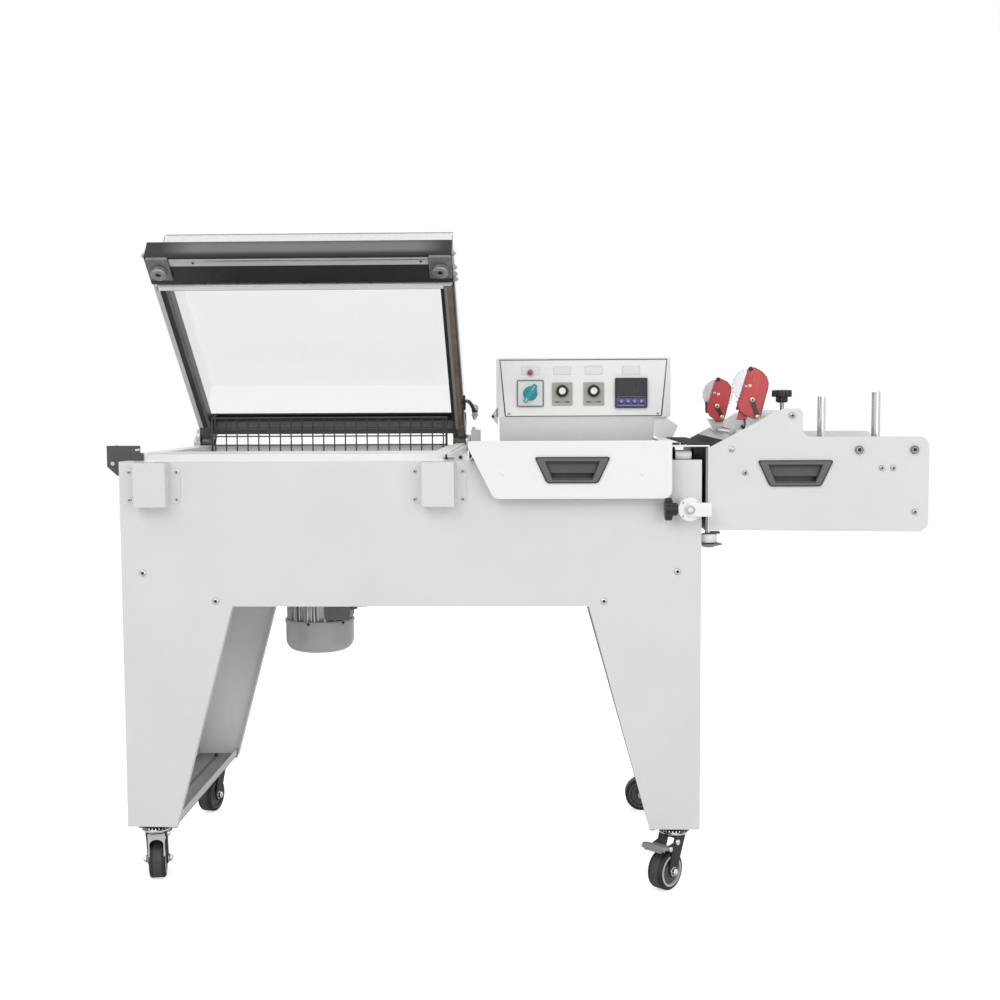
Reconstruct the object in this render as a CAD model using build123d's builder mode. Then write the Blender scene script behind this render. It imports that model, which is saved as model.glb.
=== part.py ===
import os
from math import atan2, cos, degrees, radians, sin

from build123d import *

# L-bar sealer with a shrink hood, a sliding packing table and a film cradle.
# +X runs from the hood to the film cradle, +Y to the back, +Z up.
# Inside this file a place is (u, d, z): u from the body's left side,
# d behind the face of the front panel, z above the floor.

# body
body_width = 1113
body_depth = 550
deck_z = 832
apron_z = 552.6
leg_foot = 96.6
leg_top = 213.4
sheet = 2
leg_return = 15
channel_lip = 16
channel_gap = 0.5
bracket_reach = 42
louvre_count = 7

# screws
bolt_radius = 6.5
screw_radius = 4
screw_height = 2.5
front_bolts = ((42, 617.8), (182, 563.2), (928.5, 563.2), (1068, 619.8))
magnet_screw_reach = (46, 26.5)
panel_screw_reach = 166
panel_screw_z = 915
table_screws = ((737, 808), (998, 808))
cradle_screws = ((1450, 815.7), (1471, 815.7), (1194.2, 807.6))

# casters
wheel_radius = 37.5
wheel_width = 32
caster_height = 118.5
swivel_inset_u = 48
swivel_inset_d = 28
trail = 27
swivel_radius = 22
plate_side = 56
plate_thick = 3
fork_wall = 3
fork_gap = 34
axle_radius = 4
running_fit = 0.08
wheel_turns = (102, -131, -105, 180)
pedal_width = 54
pedal_reach = 66

caster_names = ("front_left", "front_right", "rear_left", "rear_right")

# chamber and its rim
rim_height = 14
rim_left = 25
rim_right = 642
rim_front = 8
rim_rear = 505
mouth_left = 60
mouth_right = 600
mouth_front = 56
mouth_rear = 492
tub_depth = 218
tub_margin = 10
wire = 3
frame_wire = 5
wire_pitch = 24.6
tray_drop = 17
fence_d = 480
fence_height = 78

# hood, given in its own frame: reach from the hinge axis and height above it
hinge_d = 523.6
hinge_z = 852.1
open_angle = 40.8
hood_left = 31
hood_right = 636
arm_width = 28
arm_low = 8
arm_high = 35
bar_inner = 503
bar_outer = 576
bar_wall = 4
bar_high = 50
bar_flange = 15
seal_reach = 491
seal_width = 8
side_seal_width = 15
pad_width = 20
seal_gap = 0.6
pad_thick = 4
rear_bar_high = 66
rear_bar_low = 17
rear_bar_reach = 8
cover_high = 155
cover_wall = 5
cover_front = 500
cover_rear = 20
hinge_pin_radius = 8
hub_radius = 13
striker_u = 657
striker_reach = 38

# hood magnets
magnet_u = (66, 614.6)
magnet_width = 62.6
magnet_height = 85
magnet_depth = 32
flange_width = 104
flange_height = 66
keeper_gap = 1.1
keeper_u = (57, 612.6)
keeper_plate = 44
keeper_length = 56
keeper_thick = 7

# motor and fan
motor_u = 335
motor_d = 290
motor_radius = 70
terminal_box = (25, 73, 8, 66)
fan_cover_radius = 72
fan_cover_z = 417
fan_cover_height = 68
impeller_radius = 90
impeller_height = 34
blade_count = 12
shaft_radius = 7

# packing table
table_left = 671.6
table_right = 1054.5
table_z = 870
table_surface_z = 853
table_front = -27
table_rear = 465
table_drop = 109
table_slant = 48.5
rail_width = 20
rail_height = 14
rail_gap = 0.5
rail_inset = 60

# pocket handles
handle_width = 140.5
handle_narrow = 95
handle_height = 48
handle_rim = 3
handle_depth = 16
table_handle_z = 815
cradle_handle_u = 1288.8
cradle_handle_z = 806.2

# control box
box_left = 708.5
box_width = 388.5
box_low = 907
box_high = 1039
box_d = 476
box_depth = 129
gland_length = 16
plinth_inset = 6
plinth_right = 1062
plinth_foot_d = 515
panel_top_half = 186
panel_low_half = 174.8
panel_low_z = 910.5
panel_high_z = 1034
switch_place = (784.5, 961.5)
timer_places = ((855.7, 965.5), (926, 965.5))
controller_place = (1009.3, 960.7)
lamp_place = (784.5, 1007)
switch_side = 58
timer_side = 46
timer_height = 51.5
timer_drop = 6.3
body_step = 6
body_gap = 0.3

# film cradle
hanger_gap_top = 28
hanger_gap_side = 12
hanger_left = 1057
hanger_wall = 3
hanger_low_z = 694
hanger_rear = 462
cradle_end = 1538.5
cradle_low_z = 694.7
cradle_back_z = 875
cradle_peak_z = 928.2
cradle_plate = 3
cradle_depth = 443
roller_radius = 12
roller_u = (1407.5, 1510.5)
roller_z = 850
pin_radius = 5
guide_u = 1168.7
guide_z = 851.9
guide_radius = 11
peak_share = 0.374
peak_z = 915
knob_shift = -4
knob_top_z = 963
post_radius = 8.5
post_tops = (960, 950)
post_places = ((1464, 110), (1384.5, 240))
post_tray_z = 812
swing_u = 1186
swing_z = 882
swing_bar_radius = 7
cutter_radius = 33
cutter_teeth = 24
cutter_d = (60, 330)
cutter_reach = (92.3, 73.9)
cutter_lean = (75.6, 92.0)
guard_depth = 7
guard_wall = 1.5
guard_outlines = (
    ((121, 9), (126.6, 8.5), (128, -2), (124, -16), (116, -27), (106, -33.2), (95, -34.7), (42, -34.3),
     (36.8, -33.5), (34, -26), (34.6, -12), (38.4, 1.6), (46, 10.7), (57, 15.6), (66, 11)),
    ((104.7, 4.2), (108.2, 1.4), (106.4, -7.1), (99.6, -19.8), (88.5, -27.6), (77, -26.4), (29.7, -13.6),
     (19.1, -9.3), (17.1, -4.6), (20.9, 8.2), (28.9, 18.7), (39.9, 24.9), (50.7, 25), (56, 20.6)),
)
spring_ends = (((67.7, -11.1), (38.6, -29)), ((49.7, 3.9), (26.1, -6)))
upper_roller_u = 1080
upper_roller_radius = 9
lower_roller_z = 682
lower_roller_radius = 16
roller_front_d = 26
slide_run = 27
slide_rise = 14.5
slide_thick = 3
slide_low_z = 851

# cradle lock
lock_u = 1088
lock_z = 740.5
lock_radius = 22
lock_depth = 30
lock_knob_d = -22
lock_knob_radius = 19.5
lock_rod_radius = 6
lock_strap_high = 26

# where (u, d) = (0, 0) lies, so that the floor below the machine's middle is the origin
reach_front = lock_knob_radius - lock_knob_d
reach_rear = box_d + box_depth + gland_length
left_x = -(cradle_end - bracket_reach) / 2
front_y = -(reach_rear - reach_front) / 2

right_side = body_width
back = body_depth
tub_top_z = deck_z - sheet
tub_floor_z = tub_top_z - tub_depth
rim_z = deck_z + rim_height
mesh_z = deck_z - tray_drop
tub_left = mouth_left - tub_margin
tub_right = mouth_right + tub_margin
tub_front = mouth_front - tub_margin
tub_rear = mouth_rear + tub_margin
hanger_top_z = deck_z + hanger_gap_top
hanger_u = right_side + hanger_gap_side
cradle_left = hanger_u + hanger_wall
peak_u = cradle_left + peak_share * (cradle_end - cradle_left)
knob_u = peak_u + knob_shift
seal_low = rim_z + pad_thick + seal_gap - hinge_z
keeper_reach = hinge_d + magnet_depth / 2 + 5
keeper_low = deck_z + keeper_gap - hinge_z
box_right = box_left + box_width
plinth_left = box_left + plinth_inset
box_mid = (box_left + box_right) / 2
right_jaw_u = hood_right - side_seal_width / 2 - 3
instruments = (
    (switch_place, switch_side, switch_side, 0),
    (timer_places[0], timer_side, timer_height, timer_drop),
    (timer_places[1], timer_side, timer_height, timer_drop),
)


def front_at(d):
    """Upright plane facing the operator; its sketch coordinates are (u, z)."""
    return Plane(origin=(left_x, front_y + d, 0), x_dir=(1, 0, 0), z_dir=(0, -1, 0))


def side_at(u):
    """Upright plane facing +X; its sketch coordinates are (d, z)."""
    return Plane(origin=(left_x + u, front_y, 0), x_dir=(0, 1, 0), z_dir=(1, 0, 0))


def top_at(z):
    """Level plane; its sketch coordinates are (u, d)."""
    return Plane(origin=(left_x, front_y, z), x_dir=(1, 0, 0), z_dir=(0, 0, 1))


open_dir = Vector(0, -cos(radians(open_angle)), sin(radians(open_angle)))
open_up = Vector(0, sin(radians(open_angle)), cos(radians(open_angle)))
hinge_point = Vector(left_x, front_y + hinge_d, hinge_z)


def hood_side_at(u):
    """Plane across the open hood at u; its sketch coordinates are (-reach, height)."""
    return Plane(origin=hinge_point + Vector(u, 0, 0), x_dir=-open_dir, z_dir=(1, 0, 0))


def hood_top_at(height):
    """Plane along the open hood at a height; its sketch coordinates are (u, -reach)."""
    return Plane(origin=hinge_point + open_up * height, x_dir=(1, 0, 0), z_dir=open_up)


def slab(plane, points, thickness, mode=Mode.ADD):
    """A flat piece of the given outline on a plane, along the plane's normal."""
    with BuildSketch(plane) as profile:
        with BuildLine():
            Polyline(*points, close=True)
        make_face()
    extrude(profile.sketch, amount=thickness, mode=mode)


def block(plane, low, high, thickness, mode=Mode.ADD):
    """A block between two corners of a sketch plane, along the plane's normal."""
    with BuildSketch(plane) as profile:
        with Locations(((low[0] + high[0]) / 2, (low[1] + high[1]) / 2)):
            Rectangle(high[0] - low[0], high[1] - low[1])
    extrude(profile.sketch, amount=thickness, mode=mode)


def disc(plane, centre, radius, thickness, mode=Mode.ADD):
    """A round bar or a bore on a sketch plane, along the plane's normal."""
    with BuildSketch(plane) as profile:
        with Locations(centre):
            Circle(radius)
    extrude(profile.sketch, amount=thickness, mode=mode)


def ring(plane, centre, outer, inner, thickness):
    """A round tube on a sketch plane, along the plane's normal."""
    with BuildSketch(plane) as profile:
        with Locations(centre):
            Circle(outer)
            Circle(inner, mode=Mode.SUBTRACT)
    extrude(profile.sketch, amount=thickness)


def screw_head(plane, centre, radius):
    """A domed screw head lying on a sketch plane."""
    with BuildSketch(plane) as profile:
        with Locations(centre):
            Circle(radius)
    extrude(profile.sketch, amount=screw_height, taper=32)


def save(builder, label):
    builder.part.label = label
    export_step(builder.part, f"parts/{label}.step")


def leg_outline():
    """The face of the body with its two tapered legs."""
    return (
        (0, caster_height),
        (leg_foot, caster_height),
        (leg_top, apron_z),
        (right_side - leg_top, apron_z),
        (right_side - leg_foot, caster_height),
        (right_side, caster_height),
        (right_side, deck_z),
        (0, deck_z),
    )


def leg_returns(d, depth):
    """Folded edges along the inner side of both legs and under the apron."""
    slope = (leg_top - leg_foot) / (apron_z - caster_height)
    step = sheet * (1 + slope * slope) ** 0.5
    for side in (0, 1):
        edge = ((leg_foot, caster_height), (leg_top, apron_z),
                (leg_top - step, apron_z), (leg_foot - step, caster_height))
        slab(front_at(d), [(right_side - u if side else u, z) for u, z in edge], depth)
    block(front_at(d), (leg_top - step, apron_z), (right_side - leg_top + step, apron_z + sheet), depth)


def make_front_panel():
    with BuildPart() as front_panel:
        slab(front_at(sheet), leg_outline(), sheet)
        leg_returns(sheet, -leg_return)
        disc(front_at(0), (lock_u, lock_z), lock_rod_radius + 2, -sheet, Mode.SUBTRACT)
    save(front_panel, "front_panel")


def make_rear_panel():
    slot_pitch = 16
    slot_z = apron_z + 60
    with BuildPart() as rear_panel:
        slab(front_at(back), leg_outline(), sheet)
        leg_returns(back - sheet, leg_return)
        with BuildSketch(front_at(back)):
            for row in range(louvre_count):
                for u in (body_width * 0.22, body_width * 0.78):
                    with Locations((u, slot_z + row * slot_pitch)):
                        SlotOverall(120, 5)
        extrude(amount=sheet, mode=Mode.SUBTRACT)
    save(rear_panel, "rear_panel")


def make_side_panels():
    foot = 84
    knee = 150
    arch_z = apron_z - 60
    outline = (
        (sheet, caster_height), (foot, caster_height), (knee, arch_z),
        (back - knee, arch_z), (back - foot, caster_height),
        (back - sheet, caster_height), (back - sheet, deck_z - sheet), (sheet, deck_z - sheet),
    )
    with BuildPart() as side_panels:
        slab(side_at(0), outline, sheet)
        slab(side_at(right_side - sheet), outline, sheet)
    save(side_panels, "side_panels")


def make_base_channels():
    with BuildPart() as base_channels:
        for low in (sheet, right_side - leg_foot + sheet + channel_gap):
            high = low + leg_foot - 2 * sheet - channel_gap
            block(top_at(caster_height), (low, sheet), (high, back - sheet), sheet)
            for lip in (low, high - sheet):
                block(top_at(caster_height), (lip, sheet), (lip + sheet, back - sheet), channel_lip)
        for u in (swivel_inset_u, right_side - swivel_inset_u):
            for d in (swivel_inset_d, back - swivel_inset_d):
                disc(top_at(caster_height), (u, d), axle_radius + 0.5, sheet, Mode.SUBTRACT)
    save(base_channels, "base_channels")


def make_top_deck():
    with BuildPart() as top_deck:
        block(top_at(deck_z - sheet), (0, sheet), (right_side, back - sheet), sheet)
        block(top_at(deck_z - sheet), (rim_left, rim_front), (rim_right, rim_rear), rim_height + sheet)
        fillet(top_deck.edges().filter_by(Axis.Z).group_by(Axis.Z)[-1], 8)
        inner = sheet
        block(
            top_at(deck_z - sheet), (rim_left + inner, rim_front + inner),
            (rim_right - inner, rim_rear - inner), rim_height, Mode.SUBTRACT,
        )
        block(
            top_at(deck_z - sheet), (mouth_left - sheet, mouth_front - sheet),
            (mouth_right + sheet, mouth_rear + sheet), rim_height + sheet,
        )
        block(
            top_at(deck_z - sheet), (mouth_left, mouth_front),
            (mouth_right, mouth_rear), rim_height + sheet, Mode.SUBTRACT,
        )
    save(top_deck, "top_deck")


def make_seal_pads():
    front_low = hinge_d - seal_reach - pad_width / 2
    left = right_jaw_u - pad_width / 2
    right = right_jaw_u + pad_width / 2
    with BuildPart() as seal_pads:
        block(
            top_at(rim_z), (mouth_left - 10, front_low),
            (right, front_low + pad_width), pad_thick,
        )
        block(
            top_at(rim_z), (left, front_low + pad_width), (right, mouth_rear), pad_thick,
        )
    save(seal_pads, "seal_pads")


def make_chamber_tub():
    flange = 12
    with BuildPart() as chamber_tub:
        block(top_at(tub_floor_z), (tub_left, tub_front), (tub_right, tub_rear), tub_depth)
        block(
            top_at(tub_floor_z + sheet), (tub_left + sheet, tub_front + sheet),
            (tub_right - sheet, tub_rear - sheet), tub_depth, Mode.SUBTRACT,
        )
        with BuildSketch(top_at(tub_top_z - sheet)):
            with Locations(((tub_left + tub_right) / 2, (tub_front + tub_rear) / 2)):
                Rectangle(tub_right - tub_left + 2 * flange, tub_rear - tub_front + 2 * flange)
                Rectangle(tub_right - tub_left, tub_rear - tub_front, mode=Mode.SUBTRACT)
        extrude(amount=sheet)
        for u in (tub_left + sheet, tub_right - sheet - tub_margin - 6):
            block(
                top_at(mesh_z - frame_wire - sheet), (u, tub_front + sheet),
                (u + tub_margin + 6, tub_rear - sheet), sheet,
            )
        disc(top_at(tub_floor_z), (motor_u, motor_d), shaft_radius + 4, sheet, Mode.SUBTRACT)
    save(chamber_tub, "chamber_tub")


def make_heater_elements():
    """Two hairpin tubes on each side of the fan, held in the tub's end walls."""
    tube = 4
    bend = 24
    straight_front = tub_front + sheet
    straight_rear = tub_rear - 50
    with BuildPart() as heater_elements:
        for level in (tub_floor_z + 60, tub_floor_z + 110):
            for side in (-1, 1):
                mid = motor_u + side * 190
                for leg in (-bend, bend):
                    with BuildSketch(front_at(straight_front)):
                        with Locations((mid + leg, level)):
                            Circle(tube)
                    extrude(amount=-(straight_rear - straight_front))
                with BuildSketch(front_at(straight_rear)):
                    with Locations((mid - bend, level)):
                        Circle(tube)
                turn = Axis((left_x + mid, front_y + straight_rear, level), (0, 0, -1))
                revolve(axis=turn, revolution_arc=180)
    save(heater_elements, "heater_elements")


def make_wire_mesh():
    """Welded mesh tray on the tub's ledges, with its rear edge folded up as a fence."""
    gap = 2
    left = mouth_left + gap
    right = mouth_right - gap
    front = mouth_front + gap
    count = int((right - left) // wire_pitch)
    start = (left + right - count * wire_pitch) / 2
    half = wire / 2
    low_z = mesh_z - frame_wire / 2
    top_z = low_z + fence_height + tray_drop
    with BuildPart() as wire_mesh:
        for u in (left + frame_wire / 2, right - frame_wire / 2):
            disc(front_at(front), (u, low_z), frame_wire / 2, -(fence_d - front))
            disc(top_at(low_z - frame_wire / 2), (u, fence_d), frame_wire / 2, top_z - low_z + frame_wire)
        for d, z in ((front + frame_wire / 2, low_z), (fence_d, low_z), (fence_d, top_z)):
            disc(side_at(left), (d, z), frame_wire / 2, right - left)
        for row in (0.22, 0.48, 0.74):
            level = mesh_z + tray_drop + (top_z - deck_z) * row - half
            disc(side_at(left + frame_wire / 2), (fence_d + wire * 0.8, level), half, right - left - frame_wire)
        rows = int((fence_d - front) // (2 * wire_pitch))
        for row in range(1, rows + 1):
            d = front + row * 2 * wire_pitch
            block(side_at(left + frame_wire / 2), (d - half, low_z - frame_wire / 2), (d + half, low_z),
                  right - left - frame_wire)
        for column in range(count + 1):
            u = start + column * wire_pitch
            block(front_at(front + frame_wire / 2), (u - half, low_z - 0.3), (u + half, low_z + wire - 0.3),
                  -(fence_d - front - frame_wire / 2))
            disc(top_at(low_z), (u, fence_d), half, top_z - low_z)
    save(wire_mesh, "wire_mesh")


def make_fan_motor():
    mount_z = tub_floor_z - 6
    body_low = fan_cover_z + fan_cover_height
    fin_count = 20
    with BuildPart() as fan_motor:
        disc(top_at(mount_z), (motor_u, motor_d), motor_radius + 26, tub_floor_z - mount_z)
        disc(top_at(body_low), (motor_u, motor_d), motor_radius - 8, mount_z - body_low)
        with BuildSketch(top_at(body_low)):
            with Locations((motor_u, motor_d)):
                with PolarLocations(motor_radius - 6, fin_count):
                    Rectangle(12, 3)
        extrude(amount=mount_z - body_low - 12)
        left, right, low, high = terminal_box
        block(
            front_at(motor_d - motor_radius), (motor_u + left, body_low + low),
            (motor_u + right, body_low + high), -motor_radius,
        )
        block(
            top_at(body_low + 28), (motor_u, motor_d - 40), (motor_u + motor_radius + 36, motor_d + 40), 4,
        )
        disc(top_at(mount_z), (motor_u, motor_d), shaft_radius, tub_floor_z - mount_z + 20)
    save(fan_motor, "fan_motor")


def make_motor_fan_cover():
    with BuildPart() as motor_fan_cover:
        disc(top_at(fan_cover_z), (motor_u, motor_d), fan_cover_radius, fan_cover_height)
        fillet(motor_fan_cover.edges().group_by(Axis.Z)[0], 24)
        with BuildSketch(top_at(fan_cover_z)):
            with Locations((motor_u, motor_d)):
                with PolarLocations(fan_cover_radius * 0.42, 10):
                    SlotOverall(24, 4)
        extrude(amount=6, mode=Mode.SUBTRACT)
    save(motor_fan_cover, "motor_fan_cover")


def make_fan_impeller():
    base_z = tub_floor_z + sheet + 8
    hub_high = impeller_height + 6
    with BuildPart() as fan_impeller:
        disc(top_at(base_z), (motor_u, motor_d), impeller_radius, sheet)
        disc(top_at(base_z), (motor_u, motor_d), shaft_radius + 8, hub_high)
        with BuildSketch(top_at(base_z + sheet)):
            with Locations((motor_u, motor_d)):
                with PolarLocations(impeller_radius * 0.7, blade_count):
                    with Locations(Location((0, 0), 28)):
                        Rectangle(impeller_radius * 0.5, 2)
        extrude(amount=impeller_height - sheet)
        disc(top_at(base_z), (motor_u, motor_d), shaft_radius + running_fit, hub_high - 4, Mode.SUBTRACT)
    save(fan_impeller, "fan_impeller")


def make_hood_magnets():
    """Two holding magnets, each in a folded box that is open at the top."""
    low = deck_z - magnet_height
    mid_d = -magnet_depth / 2
    coil_high = 34
    with BuildPart() as hood_magnets:
        for u in magnet_u:
            left = u - magnet_width / 2
            right = u + magnet_width / 2
            block(front_at(0), (u - flange_width / 2, low + 6),
                  (u + flange_width / 2, low + 6 + flange_height), sheet)
            block(front_at(0), (left, low), (right, deck_z - 1), magnet_depth)
            block(front_at(0), (left + sheet, low + sheet), (right - sheet, deck_z - 1),
                  magnet_depth - sheet, Mode.SUBTRACT)
        fillet(hood_magnets.edges().filter_by(Axis.Z).group_by(Axis.Y)[0], 3)
        for u in magnet_u:
            disc(top_at(deck_z - coil_high), (u, mid_d), 12.5, coil_high)
            block(top_at(low + sheet), (u - 10, mid_d - 8), (u + 10, mid_d + 8),
                  magnet_height - coil_high - sheet)
    save(hood_magnets, "hood_magnets")


def make_body_screws():
    """The body's bolts, front and rear, and the screws of the magnet boxes and of the control box."""
    rear_side = Plane(origin=(left_x, front_y + back, 0), x_dir=(-1, 0, 0), z_dir=(0, 1, 0))
    reach, rise = magnet_screw_reach
    flange_mid = deck_z - magnet_height + 6 + flange_height / 2
    with BuildPart() as body_screws:
        for u, z in front_bolts:
            screw_head(front_at(0), (u, z), bolt_radius)
            screw_head(rear_side, (-u, z), bolt_radius)
        for mid in magnet_u:
            for u in (mid - reach, mid + reach):
                for z in (flange_mid - rise, flange_mid + rise):
                    screw_head(front_at(-sheet), (u, z), screw_radius)
        for u in (box_mid - panel_screw_reach, box_mid + panel_screw_reach):
            screw_head(front_at(box_d), (u, panel_screw_z), screw_radius - 1)
    save(body_screws, "body_screws")


def make_side_bracket():
    """Dark catch bracket at the left corner, sticking out past the body's side."""
    low = deck_z - 30
    high = deck_z + 29
    face_d = 60
    end_u = 24
    with BuildPart() as side_bracket:
        slab(front_at(face_d), (
            (-bracket_reach, low + 18), (-bracket_reach + 20, low), (-1, low), (-1, deck_z + 1),
            (end_u, deck_z + 1), (end_u, high), (-bracket_reach, high),
        ), -sheet - 1)
        block(front_at(face_d), (-3, low), (0, deck_z), -46)
        block(front_at(face_d), (-3, deck_z), (end_u, deck_z + 3), -46)
        disc(side_at(-26), (face_d + 22, low + 22), 4, 26)
        block(front_at(face_d + 20), (-30, low + 14), (-26, high), -4)
        block(front_at(face_d), (-30, low + 14), (-26, high), -24)
    save(side_bracket, "side_bracket")


def make_hinge_bearings():
    """Two bearing blocks on the deck that carry the hood's hinge pin."""
    clear = 1
    width = 12
    with BuildPart() as hinge_bearings:
        for low in (hood_left - clear - width, hood_right + clear):
            block(side_at(low), (hinge_d - 17, deck_z), (hinge_d + 17, hinge_z), width)
            disc(side_at(low), (hinge_d, hinge_z), 17, width)
            block(side_at(low), (hinge_d - 17, deck_z), (hinge_d + 24, deck_z + 6), width)
            disc(side_at(low), (hinge_d, hinge_z), hinge_pin_radius + running_fit, width, Mode.SUBTRACT)
    save(hinge_bearings, "hinge_bearings")


def make_limit_switch():
    d = hinge_d - striker_reach
    top = hinge_z + arm_high - 1.2
    with BuildPart() as limit_switch:
        block(top_at(deck_z), (striker_u - 6, d - 8), (striker_u + 15, d + 8), top - 6 - deck_z)
        disc(top_at(top - 6), (striker_u, d), 4, 6)
    save(limit_switch, "limit_switch")


def panel_outline(grow):
    """The instrument panel, wider at its top than at its foot."""
    return (
        (box_mid - panel_low_half - grow, panel_low_z - grow),
        (box_mid + panel_low_half + grow, panel_low_z - grow),
        (box_mid + panel_top_half + grow, panel_high_z + grow),
        (box_mid - panel_top_half - grow, panel_high_z + grow),
    )


def make_control_box():
    rear = box_d + box_depth
    wing_slope = 32
    with BuildPart() as control_box:
        block(front_at(box_d), (box_left, box_low), (box_right, box_high), -box_depth)
        fillet(control_box.edges().filter_by(Axis.Y), 4)
        plinth = ((box_d + 2, box_low), (plinth_foot_d, deck_z), (back, deck_z), (back, box_low))
        slab(side_at(plinth_left), plinth, plinth_right - plinth_left)
        block(front_at(box_d + sheet), (box_left + sheet, box_low + sheet),
              (box_right - sheet, box_high - sheet), -(box_depth - 2 * sheet), Mode.SUBTRACT)
        hollow = (
            (box_d + 2 + sheet, box_low + sheet), (plinth_foot_d + sheet, deck_z + sheet),
            (back - sheet, deck_z + sheet), (back - sheet, box_low + sheet),
        )
        with BuildSketch(side_at(plinth_left + sheet)):
            with BuildLine():
                Polyline(*hollow, close=True)
            make_face()
        extrude(amount=plinth_right - plinth_left - 2 * sheet, mode=Mode.SUBTRACT)
        with BuildSketch(front_at(box_d)):
            with BuildLine():
                Polyline(*panel_outline(1), close=True)
            make_face()
        extrude(amount=-sheet, mode=Mode.SUBTRACT)
        slab(top_at(box_low - 2), (
            (box_right - 26, box_d + 4), (box_right - plinth_inset, box_d + 4),
            (box_right - plinth_inset, box_d + 90), (box_right - 26, box_d + 90),
        ), 2)
        with BuildSketch(front_at(box_d + 8)):
            with BuildLine():
                Polyline(
                    (box_right - 12, box_low), (box_right + 18, box_low - 20),
                    (box_right + 2, deck_z + 20), (plinth_right, deck_z + wing_slope),
                    (plinth_right, box_low), close=True,
                )
            make_face()
        extrude(amount=-sheet)
        ring(front_at(rear), (box_right - 60, box_low + 30), 9, 5, -gland_length)
        ring(front_at(rear), (box_right - 60, box_low + 30), 12, 5, -6)
        disc(front_at(rear), (box_right - 60, box_low + 30), 5, sheet, Mode.SUBTRACT)
    save(control_box, "control_box")


def make_control_panel():
    with BuildPart() as control_panel:
        slab(front_at(box_d + sheet), panel_outline(0), sheet)
        with BuildSketch(front_at(box_d)):
            for place, width, height, drop in instruments:
                with Locations((place[0], place[1] - drop)):
                    Rectangle(width - body_step + 2 * body_gap, height - body_step + 2 * body_gap)
            with Locations(lamp_place):
                Circle(5)
            with Locations(controller_place):
                Rectangle(66, 61)
        extrude(amount=-sheet, mode=Mode.SUBTRACT)
    save(control_panel, "control_panel")


def make_instrument_bezels():
    """The switch plate, the two timer fronts and the lamp holder, with their bodies behind."""
    with BuildPart() as instrument_bezels:
        for place, width, height, drop in instruments:
            with BuildSketch(front_at(box_d)):
                with Locations((place[0], place[1] - drop)):
                    RectangleRounded(width, height, 3)
            extrude(amount=3)
            disc(front_at(box_d + 3), place, width * 0.36, 6)
            with BuildSketch(front_at(box_d)):
                with Locations((place[0], place[1] - drop)):
                    Rectangle(width - body_step, height - body_step)
            extrude(amount=-40)
            disc(front_at(box_d - 3), place, 3 + running_fit, -7, Mode.SUBTRACT)
        disc(front_at(box_d), lamp_place, 7.5, 3)
        disc(front_at(box_d - 3), lamp_place, 5.5, 5)
        disc(front_at(box_d), lamp_place, 4.8, -20)
    save(instrument_bezels, "instrument_bezels")


def make_temperature_controller():
    u, z = controller_place
    with BuildPart() as temperature_controller:
        with BuildSketch(front_at(box_d)):
            with Locations(controller_place):
                RectangleRounded(72, 67, 3)
        extrude(amount=6)
        with BuildSketch(front_at(box_d - 6)):
            with Locations((u, z + 10)):
                Rectangle(62, 36)
        extrude(amount=-1, mode=Mode.SUBTRACT)
        with BuildSketch(front_at(box_d - 6)):
            for key in range(4):
                with Locations((u - 24 + key * 16, z - 22)):
                    RectangleRounded(10, 7, 1.5)
        extrude(amount=0.8)
        with BuildSketch(front_at(box_d)):
            with Locations(controller_place):
                Rectangle(65.6, 60.6)
        extrude(amount=-70)
    save(temperature_controller, "temperature_controller")


def make_main_switch_knob():
    face = box_d - 3 - 3
    with BuildPart() as main_switch_knob:
        disc(front_at(face - 0.3), switch_place, 17, 6)
        with BuildSketch(front_at(face - 6.3)):
            with Locations(Location(switch_place, 45)):
                SlotOverall(38, 12)
        extrude(amount=14, taper=4)
        disc(front_at(face - 0.3), switch_place, 3, -6)
    save(main_switch_knob, "main_switch_knob")


def make_timer_knobs():
    face = box_d - 3 - 3
    for label, place in zip(("timer_knob_left", "timer_knob_right"), timer_places):
        with BuildPart() as timer_knob:
            disc(front_at(face - 0.3), place, 10, 10)
            with BuildSketch(front_at(face - 10.3)):
                with Locations((place[0], place[1] + 5.5)):
                    Rectangle(1.6, 9)
            extrude(amount=1)
            disc(front_at(face - 0.3), place, 3, -6)
        save(timer_knob, label)


def make_guide_rails():
    """Square rails on the deck for the packing table."""
    with BuildPart() as guide_rails:
        for u in (table_left + rail_inset, table_right - rail_inset):
            block(top_at(deck_z), (u - rail_width / 2, 20), (u + rail_width / 2, table_rear - 20), rail_height)
            for d in (60, table_rear - 60):
                block(top_at(deck_z), (u - rail_width, d - 12), (u + rail_width, d + 12), 4)
    save(guide_rails, "guide_rails")


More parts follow.
